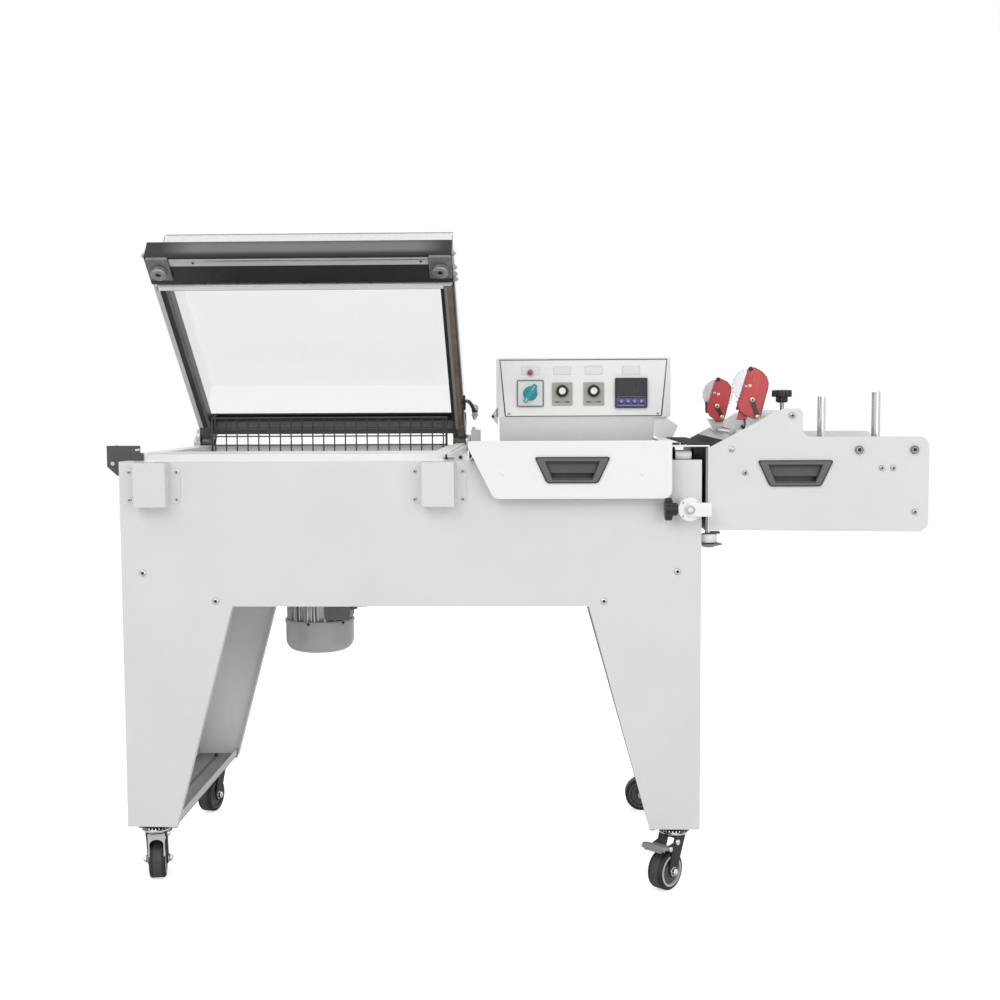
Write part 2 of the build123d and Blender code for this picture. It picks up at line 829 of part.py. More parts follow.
def make_loading_table():
    low_z = table_z - table_drop
    flange = 17
    rail_top = deck_z + rail_height
    with BuildPart() as loading_table:
        with BuildSketch(front_at(table_front + sheet)) as front:
            with BuildLine():
                Polyline(
                    (table_left, table_z), (table_left, table_z - 12), (table_left + table_slant, low_z),
                    (table_right, low_z), (table_right, table_z), close=True,
                )
            make_face()
            fillet(front.vertices().group_by(Axis.Y)[0], 16)
        extrude(amount=sheet)
        block(top_at(table_surface_z - sheet), (table_left, table_front + sheet), (table_right, table_rear), sheet)
        for u in (table_left, table_right - sheet):
            block(top_at(table_surface_z - flange), (u, table_front + sheet), (u + sheet, table_rear), flange)
        block(top_at(rail_top + 1), (table_left, table_rear - sheet), (table_right, table_rear),
              table_surface_z - rail_top - 1)
        top_gap = table_surface_z - sheet - rail_top
        for u in (table_left + rail_inset, table_right - rail_inset):
            half = rail_width / 2 + rail_gap
            for side in (-half - sheet, half):
                block(top_at(deck_z + 6), (u + side, 30), (u + side + sheet, table_rear - 30),
                      rail_height + top_gap - 6)
            block(top_at(deck_z + rail_height + rail_gap), (u - half, 30), (u + half, table_rear - 30),
                  top_gap - rail_gap)
        pocket_hole(table_front, (table_left + table_right) / 2 + 5, table_handle_z)
        for place in table_screws:
            screw_head(front_at(table_front), place, screw_radius)
    save(loading_table, "loading_table")


def pocket_points(u, z, grow):
    top = handle_width / 2 + grow
    low = handle_narrow / 2 + grow
    rise = handle_height / 2 + grow
    return ((u - low, z - rise), (u + low, z - rise), (u + top, z + rise), (u - top, z + rise))


def pocket_hole(d, u, z):
    """The cut-out of a sheet that takes a pocket handle."""
    slab(front_at(d), pocket_points(u, z, -6), -sheet - 1, Mode.SUBTRACT)


def make_pocket_handle(label, d, u, z):
    """A moulded flush handle: a rim on the sheet and a finger recess behind it."""
    wall = 2.5
    with BuildPart() as pocket_handle:
        slab(front_at(d), pocket_points(u, z, 0), handle_rim)
        fillet(pocket_handle.edges().filter_by(Axis.Y), 5)
        slab(front_at(d), pocket_points(u, z, -6.2), -handle_depth)
        with BuildSketch(front_at(d - handle_rim)):
            with BuildLine():
                Polyline(*pocket_points(u, z, -6.2 - wall), close=True)
            make_face()
        extrude(amount=-(handle_depth + handle_rim - wall), mode=Mode.SUBTRACT)
    save(pocket_handle, label)


def cradle_outline():
    """A cradle side plate: a sloped nose, the knob's peak and a straight tail."""
    return (
        (cradle_left, cradle_low_z + 4), (cradle_left, hanger_top_z - 4),
        (peak_u - 30, cradle_peak_z - 6), (peak_u - 16, cradle_peak_z),
        (peak_u + 20.5, cradle_peak_z), (peak_u + 20.5, cradle_back_z + 10),
        (peak_u + 30, cradle_back_z), (cradle_end, cradle_back_z), (cradle_end, cradle_low_z),
    )


def make_cradle_plates():
    with BuildPart() as cradle_plates:
        for d in (0, cradle_depth - cradle_plate):
            with BuildSketch(front_at(d + cradle_plate)) as plate:
                with BuildLine():
                    Polyline(*cradle_outline(), close=True)
                make_face()
                fillet(plate.vertices().group_by(Axis.X)[-1], 20)
                fillet(plate.vertices().group_by(Axis.Y)[-1].sort_by(Axis.X)[-1], 10)
            extrude(amount=cradle_plate)
        for d in (cradle_plate, cradle_depth - cradle_plate - 18):
            block(side_at(cradle_left), (d, cradle_low_z + 6), (d + 18, hanger_top_z - 10), cradle_plate)
        for u in roller_u:
            disc(front_at(0), (u, roller_z), pin_radius + running_fit, -cradle_depth, Mode.SUBTRACT)
        disc(front_at(0), (guide_u, guide_z), pin_radius + running_fit, -cradle_depth, Mode.SUBTRACT)
        with BuildSketch(front_at(0)):
            with BuildLine():
                Polyline(*pocket_points(cradle_handle_u, cradle_handle_z, -6), close=True)
            make_face()
        extrude(amount=-cradle_plate, mode=Mode.SUBTRACT)
    save(cradle_plates, "cradle_plates")


def make_cradle_tie_bars():
    """Bars and plates between the two cradle plates, with the film posts."""
    inner = cradle_plate
    span = cradle_depth - 2 * cradle_plate
    with BuildPart() as cradle_tie_bars:
        disc(front_at(inner), (swing_u, swing_z), swing_bar_radius, -span)
        block(front_at(inner), (knob_u - 9, peak_z - 9), (peak_u + 9, peak_z + 9), -span)
        disc(front_at(inner), (cradle_end - 26, cradle_low_z + 38), 6, -span)
        low_u = post_places[1][0] - 14
        high_u = post_places[0][0] + 20
        block(front_at(inner), (low_u, post_tray_z), (high_u, post_tray_z + cradle_plate), -span)
        for (u, d), top_z in zip(post_places, post_tops):
            disc(top_at(post_tray_z + cradle_plate), (u, d), post_radius + 6, 8)
            disc(top_at(post_tray_z + cradle_plate), (u, d), post_radius, top_z - post_tray_z - cradle_plate)
            chamfer(cradle_tie_bars.edges().group_by(Axis.Z)[-1], 1.5)
        disc(top_at(peak_z - 9), (knob_u, 90), 4, 18, Mode.SUBTRACT)
        for place in (*cradle_screws, (peak_u, peak_z), (cradle_end - 26, cradle_low_z + 38)):
            screw_head(front_at(0), place, screw_radius)
    save(cradle_tie_bars, "cradle_tie_bars")


def make_film_rollers():
    inner = cradle_plate
    span = cradle_depth - 2 * cradle_plate
    gap = 1.5
    rollers = (
        ("film_roller_inner", roller_u[0], roller_z, roller_radius),
        ("film_roller_outer", roller_u[1], roller_z, roller_radius),
        ("guide_roller", guide_u, guide_z, guide_radius),
    )
    for label, u, z, radius in rollers:
        with BuildPart() as film_roller:
            disc(front_at(inner + gap), (u, z), radius, -(span - 2 * gap))
            disc(front_at(0), (u, z), pin_radius, -cradle_depth)
        save(film_roller, label)


def star_knob(plane, centre, radius, thickness, hub_radius_, hub_length, stem_length):
    """A lobed clamping knob: head, hub and threaded stem along the plane's normal."""
    lobes = 6
    with BuildSketch(plane) as head:
        with Locations(centre):
            Circle(radius * 0.86)
            with PolarLocations(radius * 0.78, lobes):
                Circle(radius * 0.22)
            with PolarLocations(radius * 1.02, lobes, start_angle=180 / lobes):
                Circle(radius * 0.2, mode=Mode.SUBTRACT)
    extrude(head.sketch, amount=-thickness)
    disc(plane.offset(-thickness), centre, hub_radius_, -hub_length)
    disc(plane.offset(-thickness - hub_length), centre, 3.9, -stem_length)


def make_peak_knob():
    head = 13
    hub = 11
    with BuildPart() as peak_knob:
        star_knob(top_at(knob_top_z), (knob_u, 90), 19, head, 10, hub, knob_top_z - head - hub - peak_z + 17)
    save(peak_knob, "peak_knob")


def hanger_profile():
    """The inverted L that wraps the body's top right edge, seen from the front."""
    return (
        (hanger_left, hanger_top_z - hanger_wall), (hanger_u, hanger_top_z - hanger_wall),
        (hanger_u, hanger_low_z), (hanger_u + hanger_wall, hanger_low_z),
        (hanger_u + hanger_wall, hanger_top_z), (hanger_left, hanger_top_z),
    )


def make_hanger_plate():
    """The hanger with its roller pins; its rear rollers are fixed shoes of the same outline."""
    top_low = hanger_top_z - hanger_wall
    roller_z_top = deck_z + upper_roller_radius + 0.4
    rear_d = hanger_rear - 26
    side_u = right_side + lower_roller_radius + 0.4
    with BuildPart() as hanger_plate:
        slab(front_at(2), hanger_profile(), -(hanger_rear - 2))
        fillet(
            hanger_plate.edges().filter_by(Axis.Y).group_by(Axis.Z)[-1].sort_by(Axis.X)[-1], 2.5,
        )
        for d in (roller_front_d, rear_d):
            for low in (upper_roller_u - 20, upper_roller_u + 16):
                block(side_at(low), (d - 7, deck_z + 3), (d + 7, top_low), 4)
        disc(side_at(upper_roller_u - 20), (roller_front_d, roller_z_top), 3, 40)
        disc(side_at(upper_roller_u - 16), (rear_d, roller_z_top), upper_roller_radius, 32)
        for d in (roller_front_d, rear_d):
            block(top_at(hanger_low_z - 4), (side_u - 6, d - 10), (hanger_u + hanger_wall + 22, d + 10), 4)
        disc(top_at(lower_roller_z - 9), (side_u, roller_front_d), 3, hanger_low_z - lower_roller_z + 9)
        disc(top_at(lower_roller_z - 9), (side_u, rear_d), lower_roller_radius, hanger_low_z - lower_roller_z + 5)
        for d in (roller_front_d, rear_d):
            disc(top_at(lower_roller_z - 12), (side_u, d), lower_roller_radius * 0.6, 3)
        slide_end = cradle_left + slide_run
        slab(
            front_at(cradle_plate), (
                (cradle_left - 0.5, slide_low_z), (slide_end, slide_low_z + slide_rise),
                (slide_end, slide_low_z + slide_rise + slide_thick), (cradle_left - 0.5, slide_low_z + slide_thick),
            ), -(cradle_depth - 2 * cradle_plate),
        )
    save(hanger_plate, "hanger_plate")


def make_hanger_rollers():
    roller_z_top = deck_z + upper_roller_radius + 0.4
    side_u = right_side + lower_roller_radius + 0.4
    with BuildPart() as hanger_roller_upper:
        ring(side_at(upper_roller_u - 15.5), (roller_front_d, roller_z_top), upper_roller_radius,
             3 + running_fit, 31)
    save(hanger_roller_upper, "hanger_roller_upper")
    with BuildPart() as hanger_roller_lower:
        ring(top_at(lower_roller_z - 8.5), (side_u, roller_front_d), lower_roller_radius, 3 + running_fit,
             hanger_low_z - lower_roller_z + 4)
    save(hanger_roller_lower, "hanger_roller_lower")


def make_lock():
    """A clamp collar on the front panel, the rod and strap of the hanger, and the knob."""
    rod_rear = 180
    with BuildPart() as lock_collar:
        ring(front_at(0), (lock_u, lock_z), lock_radius, lock_rod_radius + running_fit, lock_depth)
        fillet(lock_collar.edges().group_by(Axis.Y)[0], 1.5)
        disc(side_at(lock_u - lock_radius - 1), (lock_knob_d, lock_z), 4, lock_radius - 6, Mode.SUBTRACT)
    save(lock_collar, "lock_collar")
    strap_d = -lock_depth - 1
    with BuildPart() as lock_rod:
        disc(front_at(strap_d), (lock_u, lock_z), lock_rod_radius, -(rod_rear - strap_d))
        block(front_at(strap_d), (lock_u - 4, lock_z - lock_strap_high / 2),
              (hanger_u + hanger_wall, lock_z + lock_strap_high / 2), 3)
        block(front_at(strap_d), (hanger_u, lock_z - lock_strap_high / 2),
              (hanger_u + hanger_wall, lock_z + lock_strap_high / 2), -(2 - strap_d))
        disc(front_at(strap_d - 3), (lock_u, lock_z), 9, 3)
    save(lock_rod, "lock_rod")
    knob_u = lock_u - lock_radius
    with BuildPart() as lock_knob:
        plane = Plane(
            origin=(left_x + knob_u - 24, front_y + lock_knob_d, lock_z), x_dir=(0, 1, 0), z_dir=(-1, 0, 0),
        )
        star_knob(plane, (0, 0), lock_knob_radius, 13, 9, 10, 14)
    save(lock_knob, "lock_knob")


def perforator_plane(index, d):
    """Plane of one perforator: x runs up its lever, y to the guard's open side."""
    lean = radians(cutter_lean[index])
    return Plane(
        origin=(left_x + swing_u, front_y + d, swing_z),
        x_dir=(cos(lean), 0, sin(lean)), z_dir=(0, -1, 0),
    )


def make_perforators():
    """Two toothed wheels, each in a folded guard on a sprung lever."""
    names = (("perforator_arm_front", "perforator_wheel_front"),
             ("perforator_arm_rear", "perforator_wheel_rear"))
    for index, (arm_label, wheel_label) in enumerate(names):
        reach = cutter_reach[index]
        d = cutter_d[index]
        plane = perforator_plane(index, d)
        with BuildPart() as perforator_arm:
            ring(plane.offset(-7), (0, 0), swing_bar_radius + 6, swing_bar_radius + running_fit, 16)
            slab(plane.offset(3), (
                (swing_bar_radius + 3, -8), (reach - 34, -16), (reach, -9), (reach, 6),
                (swing_bar_radius + 3, 8),
            ), 3)
            guard(plane.offset(6), guard_outlines[index])
            disc(plane.offset(-5), (reach, 0), 3, 11 + guard_depth - guard_wall)
            disc(plane.offset(6), (reach, 0), 7, guard_depth)
            spring_lever(plane.offset(6 + guard_depth), spring_ends[index])
        save(perforator_arm, arm_label)
        with BuildPart() as perforator_wheel:
            with BuildSketch(plane.offset(0.6)):
                with Locations((reach, 0)):
                    Circle(cutter_radius - 2.5)
                    with PolarLocations(cutter_radius - 2.5, cutter_teeth):
                        Triangle(a=3.6, b=4.4, c=4.4, rotation=-90)
                    Circle(3 + running_fit, mode=Mode.SUBTRACT)
            extrude(amount=1.6)
            ring(plane.offset(-4), (reach, 0), 9, 3 + running_fit, 4.6)
        save(perforator_wheel, wheel_label)


def guard(plane, outline):
    """The red guard: a rounded sheet with a rim on the wheel's side."""
    slab(plane, outline, guard_depth)
    with BuildSketch(plane) as inside:
        with BuildLine():
            Polyline(*outline, close=True)
        make_face()
        offset(amount=-guard_wall, mode=Mode.REPLACE)
    extrude(inside.sketch, amount=guard_depth - guard_wall, mode=Mode.SUBTRACT)


def spring_lever(plane, ends):
    """The dark sprung strip on the guard, with a screw head at its upper end."""
    (x, y), (end_x, end_y) = ends
    length = ((end_x - x) ** 2 + (end_y - y) ** 2) ** 0.5
    with BuildSketch(plane) as lever:
        with Locations(Location(((x + end_x) / 2, (y + end_y) / 2), degrees(atan2(end_y - y, end_x - x)))):
            SlotOverall(length + 8, 8)
    extrude(lever.sketch, amount=3)
    disc(plane, (x, y), 3.5, 5)


def hood_box(low_u, high_u, low_reach, high_reach, low, high, mode=Mode.ADD):
    """A block of the open hood between two reaches and two heights."""
    block(hood_top_at(low), (low_u, -high_reach), (high_u, -low_reach), high - low, mode)


def make_hood_frame():
    with BuildPart() as hood_frame:
        profile = (
            (-bar_outer, 0), (-bar_inner, 0), (-bar_inner, arm_low), (-seal_reach + bar_flange, arm_low),
            (-seal_reach + bar_flange, arm_high), (-bar_inner, arm_high), (-bar_inner, bar_high),
            (-bar_outer + 8, bar_high), (-bar_outer, bar_high - 8),
        )
        slab(hood_side_at(hood_left), profile, hood_right - hood_left)
        for low_u in (hood_left, hood_right - arm_width):
            arm = (
                (-bar_inner, arm_low), (-hub_radius - 30, arm_low), (-hub_radius, 0), (hub_radius - 1, 0),
                (hub_radius - 1, rear_bar_high - 12), (hub_radius - 7, rear_bar_high),
                (-hub_radius - 5, rear_bar_high), (-hub_radius - 10, arm_high), (-bar_inner, arm_high),
            )
            slab(hood_side_at(low_u), arm, arm_width)
            disc(hood_side_at(low_u), (0, 0), hub_radius, arm_width)
        rear = cover_rear + cover_wall
        hood_box(hood_left, hood_right, rear_bar_reach, rear, rear_bar_low, rear_bar_high)
        hood_box(hood_left + arm_width, hood_right - arm_width, rear_bar_reach + bar_wall, rear + 1,
                 rear_bar_low + bar_wall, rear_bar_high - bar_wall, Mode.SUBTRACT)
        disc(hood_side_at(hood_left - 1), (0, 0), hinge_pin_radius, hood_right - hood_left + 2, Mode.SUBTRACT)
    save(hood_frame, "hood_frame")


def make_hood_fittings():
    """The bright strip under the front bar, the bar's stud ends and the magnets' keepers."""
    radius = 16
    strip_low = bar_outer - 23
    with BuildPart() as hood_fittings:
        hood_box(keeper_u[0] + keeper_plate / 2 + 1, keeper_u[1] - keeper_plate / 2 - 1,
                 strip_low, strip_low + 18, -2, 0)
        for u, way in ((hood_left, -1), (hood_right, 1)):
            for reach in (bar_outer - 8, bar_outer - 46):
                disc(hood_side_at(u), (-reach, 14), 3, way * 8)
        for u in keeper_u:
            hood_box(u - keeper_plate / 2, u + keeper_plate / 2, bar_outer - keeper_length, bar_outer,
                     -keeper_thick, 0)
            with BuildSketch(hood_top_at(keeper_low)):
                with Locations((u, -keeper_reach)):
                    RegularPolygon(radius, 16)
                    Circle(5, mode=Mode.SUBTRACT)
            extrude(amount=-keeper_thick - keeper_low)
    save(hood_fittings, "hood_fittings")


def make_hood_cover():
    """Clear acrylic cover, folded from one sheet, standing on the frame."""
    left = hood_left + 2
    right = hood_right - 7
    with BuildPart() as hood_cover:
        hood_box(left, right, cover_rear, cover_front, arm_high, cover_high)
        fillet(hood_cover.edges().filter_by(Axis.X).sort_by(Axis.Z)[-1], 14)
        hood_box(left + cover_wall, right - cover_wall, cover_rear + cover_wall, cover_front - cover_wall,
                 arm_high, cover_high - cover_wall, Mode.SUBTRACT)
        hood_box(left - 1, right + 1, cover_rear - 1, cover_rear + cover_wall, arm_high - 1,
                 rear_bar_high, Mode.SUBTRACT)
    save(hood_cover, "hood_cover")


def make_seal_jaws():
    """The L-shaped jaw that cuts and seals along the front and the right side."""
    half = seal_width / 2
    left = right_jaw_u - side_seal_width / 2
    right = right_jaw_u + side_seal_width / 2
    with BuildPart() as seal_jaws:
        hood_box(hood_left + 8, right, seal_reach - half, seal_reach + half, seal_low, arm_low)
        hood_box(left, right, hub_radius + 31, seal_reach - half, seal_low, arm_low)
    save(seal_jaws, "seal_jaws")


def make_hinge_shaft():
    """A hinge pin through each arm, and the striker that meets the limit switch."""
    reach = 13
    inner = 4
    arm_u = hood_right
    with BuildPart() as hinge_shaft:
        disc(hood_side_at(hood_left - reach), (0, 0), hinge_pin_radius, reach + arm_width + inner)
        disc(hood_side_at(hood_right - arm_width - inner), (0, 0), hinge_pin_radius, arm_width + inner + reach + 2)
        strap = (
            (-118, arm_high - 16), (-96, arm_high - 16), (-76, arm_high + 14), (-striker_reach + 8, arm_high + 14),
            (-striker_reach + 8, arm_high + 20), (-82, arm_high + 20), (-118, arm_high + 2),
        )
        slab(hood_side_at(arm_u), strap, 3)
        hood_box(arm_u, striker_u + 8, striker_reach - 8, striker_reach + 8, arm_high + 14, arm_high + 20)
        disc(hood_top_at(arm_high - 0.6), (striker_u, -striker_reach), 4, 34)
        disc(hood_top_at(arm_high + 20), (striker_u, -striker_reach), 7.5, 6)
    save(hinge_shaft, "hinge_shaft")


def caster_places():
    """Each caster's name, swivel centre and trail direction in degrees."""
    left = swivel_inset_u
    right = right_side - swivel_inset_u
    rear = back - swivel_inset_d
    places = ((left, swivel_inset_d), (right, swivel_inset_d), (left, rear), (right, rear))
    return zip(caster_names, places, wheel_turns)


def caster_plane(place, turn):
    """Upright plane through a caster's swivel axis; x runs along its trail."""
    angle = radians(turn)
    return Plane(
        origin=(left_x + place[0], front_y + place[1], 0),
        x_dir=(cos(angle), sin(angle), 0), z_dir=(sin(angle), -cos(angle), 0),
    )


def make_caster_plates():
    low = caster_height - plate_thick
    with BuildPart() as caster_plates:
        for _, (u, d), _ in caster_places():
            block(top_at(low), (u - plate_side / 2, d - plate_side / 2 + 3),
                  (u + plate_side / 2, d + plate_side / 2 - 3), plate_thick)
            disc(top_at(low - 4), (u, d), swivel_radius - 3, 4)
            disc(top_at(low - 14), (u, d), 5, 14)
            disc(top_at(caster_height), (u, d), axle_radius, 8)
    save(caster_plates, "caster_plates")


def make_casters():
    head_high = caster_height - plate_thick - 4 - 0.4
    head_low = head_high - 10
    ear = (38, 84)
    for name, place, turn in caster_places():
        plane = caster_plane(place, turn)
        floor = Plane(origin=plane.origin, x_dir=plane.x_dir, z_dir=(0, 0, 1))
        braked = name.startswith("front")
        with BuildPart() as caster_fork:
            outer = fork_gap / 2 + fork_wall
            disc(floor.offset(head_low), (0, 0), swivel_radius, head_high - head_low)
            block(floor.offset(head_low), (-12, -outer), (20, outer), 4)
            for side in (-1, 1):
                inner = side * fork_gap / 2
                with BuildSketch(plane.offset(inner)):
                    with BuildLine():
                        Polyline(
                            (-14, head_low + 4), (20, head_low + 4), (trail + 13, wheel_radius + 3),
                            (trail + 5, wheel_radius - 11), (trail - 8, wheel_radius - 9), close=True,
                        )
                    make_face()
                    if braked:
                        with Locations(ear):
                            Circle(6)
                        with BuildLine():
                            Polyline((12, 96), (40, 90), (38, 78), (12, 74), close=True)
                        make_face()
                extrude(amount=side * fork_wall)
            disc(plane.offset(-outer - 3), (trail, wheel_radius), axle_radius, 2 * outer + 6)
            for side in (-1, 1):
                disc(plane.offset(side * outer), (trail, wheel_radius), 7, side * 3)
            disc(floor.offset(head_low), (0, 0), 5 + running_fit, head_high - head_low, Mode.SUBTRACT)
            if braked:
                disc(plane.offset(-outer), ear, 3, 2 * outer)
        save(caster_fork, f"caster_fork_{name}")
        with BuildPart() as caster_wheel:
            disc(plane.offset(-wheel_width / 2), (trail, wheel_radius), wheel_radius, wheel_width)
            rims = caster_wheel.edges().filter_by(GeomType.CIRCLE)
            fillet(rims, 5)
            for side in (-1, 1):
                with BuildSketch(plane.offset(side * wheel_width / 2)):
                    with Locations((trail, wheel_radius)):
                        Circle(26)
                        Circle(11, mode=Mode.SUBTRACT)
                extrude(amount=-side * 5, mode=Mode.SUBTRACT)
            disc(plane.offset(-wheel_width / 2), (trail, wheel_radius), axle_radius + running_fit,
                 wheel_width, Mode.SUBTRACT)
        save(caster_wheel, f"caster_wheel_{name}")
        if braked:
            make_brake_pedal(name, plane, ear)


def make_brake_pedal(name, plane, ear):
    inner_half = fork_gap / 2 - 0.5
    with BuildPart() as brake_pedal:
        disc(plane.offset(-inner_half), ear, 6, 2 * inner_half)
        slab(plane.offset(-inner_half), (
            (ear[0], ear[1] - 4), (ear[0] + 12, ear[1] + 2), (ear[0] + 12, ear[1] + 6), (ear[0], ear[1] + 6),
        ), 2 * inner_half)
        slab(plane.offset(-pedal_width / 2), (
            (ear[0] + 10, ear[1] + 1), (pedal_reach - 4, ear[1] + 5), (pedal_reach, ear[1] + 1),
            (pedal_reach + 2, ear[1] + 5), (pedal_reach - 4, ear[1] + 11), (ear[0] + 10, ear[1] + 7),
        ), pedal_width)
        disc(plane.offset(-inner_half), ear, 3 + running_fit, 2 * inner_half, Mode.SUBTRACT)
    save(brake_pedal, f"brake_pedal_{name}")


os.makedirs("parts", exist_ok=True)
make_front_panel()
make_rear_panel()
make_side_panels()
make_base_channels()
make_top_deck()
make_seal_pads()
make_chamber_tub()
make_heater_elements()
make_wire_mesh()
make_fan_motor()
make_motor_fan_cover()
make_fan_impeller()
make_hood_magnets()
make_body_screws()
make_side_bracket()
make_hinge_bearings()
make_limit_switch()
make_control_box()
make_control_panel()
make_instrument_bezels()
make_temperature_controller()
make_main_switch_knob()
make_timer_knobs()
make_guide_rails()
make_loading_table()
make_pocket_handle("table_handle", table_front, (table_left + table_right) / 2 + 5, table_handle_z)
make_cradle_plates()
make_cradle_tie_bars()
make_pocket_handle("cradle_handle", 0, cradle_handle_u, cradle_handle_z)
make_film_rollers()
make_peak_knob()
make_hanger_plate()
make_hanger_rollers()
make_lock()
make_perforators()
make_hood_frame()
make_hood_fittings()
make_hood_cover()
make_seal_jaws()
make_hinge_shaft()
make_caster_plates()
make_casters()
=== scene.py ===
import bmesh
import bpy
from math import cos, degrees, pi, radians, sin
from mathutils import Matrix, Vector


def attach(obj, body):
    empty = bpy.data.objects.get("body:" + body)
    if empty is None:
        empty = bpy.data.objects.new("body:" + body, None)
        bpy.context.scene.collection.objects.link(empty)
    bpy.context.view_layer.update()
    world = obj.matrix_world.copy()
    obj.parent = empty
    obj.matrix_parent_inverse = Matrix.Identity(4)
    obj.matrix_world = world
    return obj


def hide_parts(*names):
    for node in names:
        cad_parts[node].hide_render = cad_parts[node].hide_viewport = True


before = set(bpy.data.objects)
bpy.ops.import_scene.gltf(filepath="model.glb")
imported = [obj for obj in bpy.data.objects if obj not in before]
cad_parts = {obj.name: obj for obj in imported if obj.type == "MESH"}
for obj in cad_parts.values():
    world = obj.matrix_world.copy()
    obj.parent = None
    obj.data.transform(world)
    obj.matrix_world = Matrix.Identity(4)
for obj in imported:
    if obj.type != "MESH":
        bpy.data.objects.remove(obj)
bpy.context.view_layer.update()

print("frame loaded:", len(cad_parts), "nodes")


# places on the machine, in mm: u from the body's left side, d behind its front, z above the floor

machine = {"leftX": -748.25, "frontY": -289.75, "hingeD": 523.6, "hingeZ": 852.1, "openAngle": radians(40.8)}


def spot(u, d, z):
    return Vector((alongX(u), alongY(d), z / 1000))


def frameOf(origin, xAxis, yAxis, zAxis):
    matrix = Matrix((xAxis, yAxis, zAxis)).transposed().to_4x4()
    matrix.translation = origin
    return matrix


def alongX(u):
    return (machine["leftX"] + u) / 1000


def alongY(d):
    return (machine["frontY"] + d) / 1000


def facingFront(u, d, z):
    return frameOf(spot(u, d, z), (1, 0, 0), (0, 0, 1), (0, -1, 0))  # local z comes out at the operator


def facingRear(u, d, z):
    return frameOf(spot(u, d, z), (-1, 0, 0), (0, 0, 1), (0, 1, 0))


def facingRight(u, d, z):
    return frameOf(spot(u, d, z), (0, 1, 0), (0, 0, 1), (1, 0, 0))


def facingLeft(u, d, z):
    return frameOf(spot(u, d, z), (0, -1, 0), (0, 0, 1), (-1, 0, 0))


def facingUp(u, d, z):
    return frameOf(spot(u, d, z), (1, 0, 0), (0, 1, 0), (0, 0, 1))


def onHood(u, reach, height):
    # local y runs back to the hinge and local z up through the cover, as the hood stands open
    angle = machine["openAngle"]
    outward = Vector((0, -cos(angle), sin(angle)))
    upward = Vector((0, sin(angle), cos(angle)))
    origin = spot(u, machine["hingeD"], machine["hingeZ"]) + (outward * reach + upward * height) / 1000
    return frameOf(origin, (1, 0, 0), -outward, upward)


def moved(at, x, y, z=0.0):
    return at @ Matrix.Translation((x / 1000, y / 1000, z / 1000))


def turned(at, angle, axis="Z"):
    return at @ Matrix.Rotation(angle, 4, axis)


def around(at, count, radius, shift=0.0):
    # places in a ring about local z
    return [moved(turned(at, 2 * pi * (index + shift) / count), radius, 0) for index in range(count)]


# camera

camera = {
    "place": spot(814.9, -2586.2, 950.2),
    "yaw": 0.0325,
    "pitch": 0.0745,
    "roll": -0.005,
    "lens": 49.09,
    "filmWidth": 36,
}


def setCamera():
    yaw, pitch, roll = camera["yaw"], camera["pitch"], camera["roll"]
    ahead = Vector((-sin(yaw) * cos(pitch), cos(yaw) * cos(pitch), -sin(pitch)))
    right = Vector((cos(yaw), sin(yaw), 0))
    up = right.cross(ahead)
    rolledRight = cos(roll) * right + sin(roll) * up
    rolledUp = -sin(roll) * right + cos(roll) * up
    data = bpy.data.cameras.new("camera")
    data.lens = camera["lens"]
    data.sensor_width = camera["filmWidth"]
    data.clip_start = 0.05
    data.clip_end = 60
    eye = bpy.data.objects.new("camera", data)
    eye.matrix_world = frameOf(camera["place"], rolledRight, rolledUp, -ahead)
    bpy.context.collection.objects.link(eye)
    bpy.context.scene.camera = eye


setCamera()
print("camera set")


# studio

studio = {
    "worldGrey": 0.62,
    "floorGrey": 0.86,
    "floorLift": 0.6,
    "floorSize": 14,
    "aimAt": (0, 0, 0.6),
    "lamps": (
        {"name": "keyLamp", "at": (-1.7, -3.3, 3.4), "size": 2.6, "power": 54},
        {"name": "fillLamp", "at": (2.2, -3.5, 1.9), "size": 2.6, "power": 36},
        {"name": "backLamp", "at": (0.6, 3.2, 2.8), "size": 2.4, "power": 30},
    ),
}


def setStudio():
    scene = bpy.context.scene
    scene.view_settings.view_transform = "Standard"
    world = bpy.data.worlds.new("studio")
    scene.world = world
    world.use_nodes = True
    nodes, links = world.node_tree.nodes, world.node_tree.links
    background = nodes["Background"]
    background.inputs["Color"].default_value = (1, 1, 1, 1)
    path = nodes.new("ShaderNodeLightPath")
    seen = nodes.new("ShaderNodeMath")
    seen.operation = "MAXIMUM"
    links.new(path.outputs["Is Camera Ray"], seen.inputs[0])
    links.new(path.outputs["Is Transmission Ray"], seen.inputs[1])
    mirrored = nodes.new("ShaderNodeMath")
    mirrored.operation = "MAXIMUM"
    links.new(seen.outputs[0], mirrored.inputs[0])
    links.new(path.outputs["Is Glossy Ray"], mirrored.inputs[1])
    level = nodes.new("ShaderNodeMapRange")
    level.inputs["To Min"].default_value = studio["worldGrey"]
    level.inputs["To Max"].default_value = 1
    links.new(mirrored.outputs[0], level.inputs["Value"])
    links.new(level.outputs["Result"], background.inputs["Strength"])
    for lamp in studio["lamps"]:
        data = bpy.data.lights.new(lamp["name"], "AREA")
        data.size = lamp["size"]
        data.energy = lamp["power"]
        item = bpy.data.objects.new(lamp["name"], data)
        item.location = lamp["at"]
        aim = Vector(studio["aimAt"]) - item.location
        item.rotation_euler = aim.to_track_quat("-Z", "Y").to_euler()
        bpy.context.collection.objects.link(item)


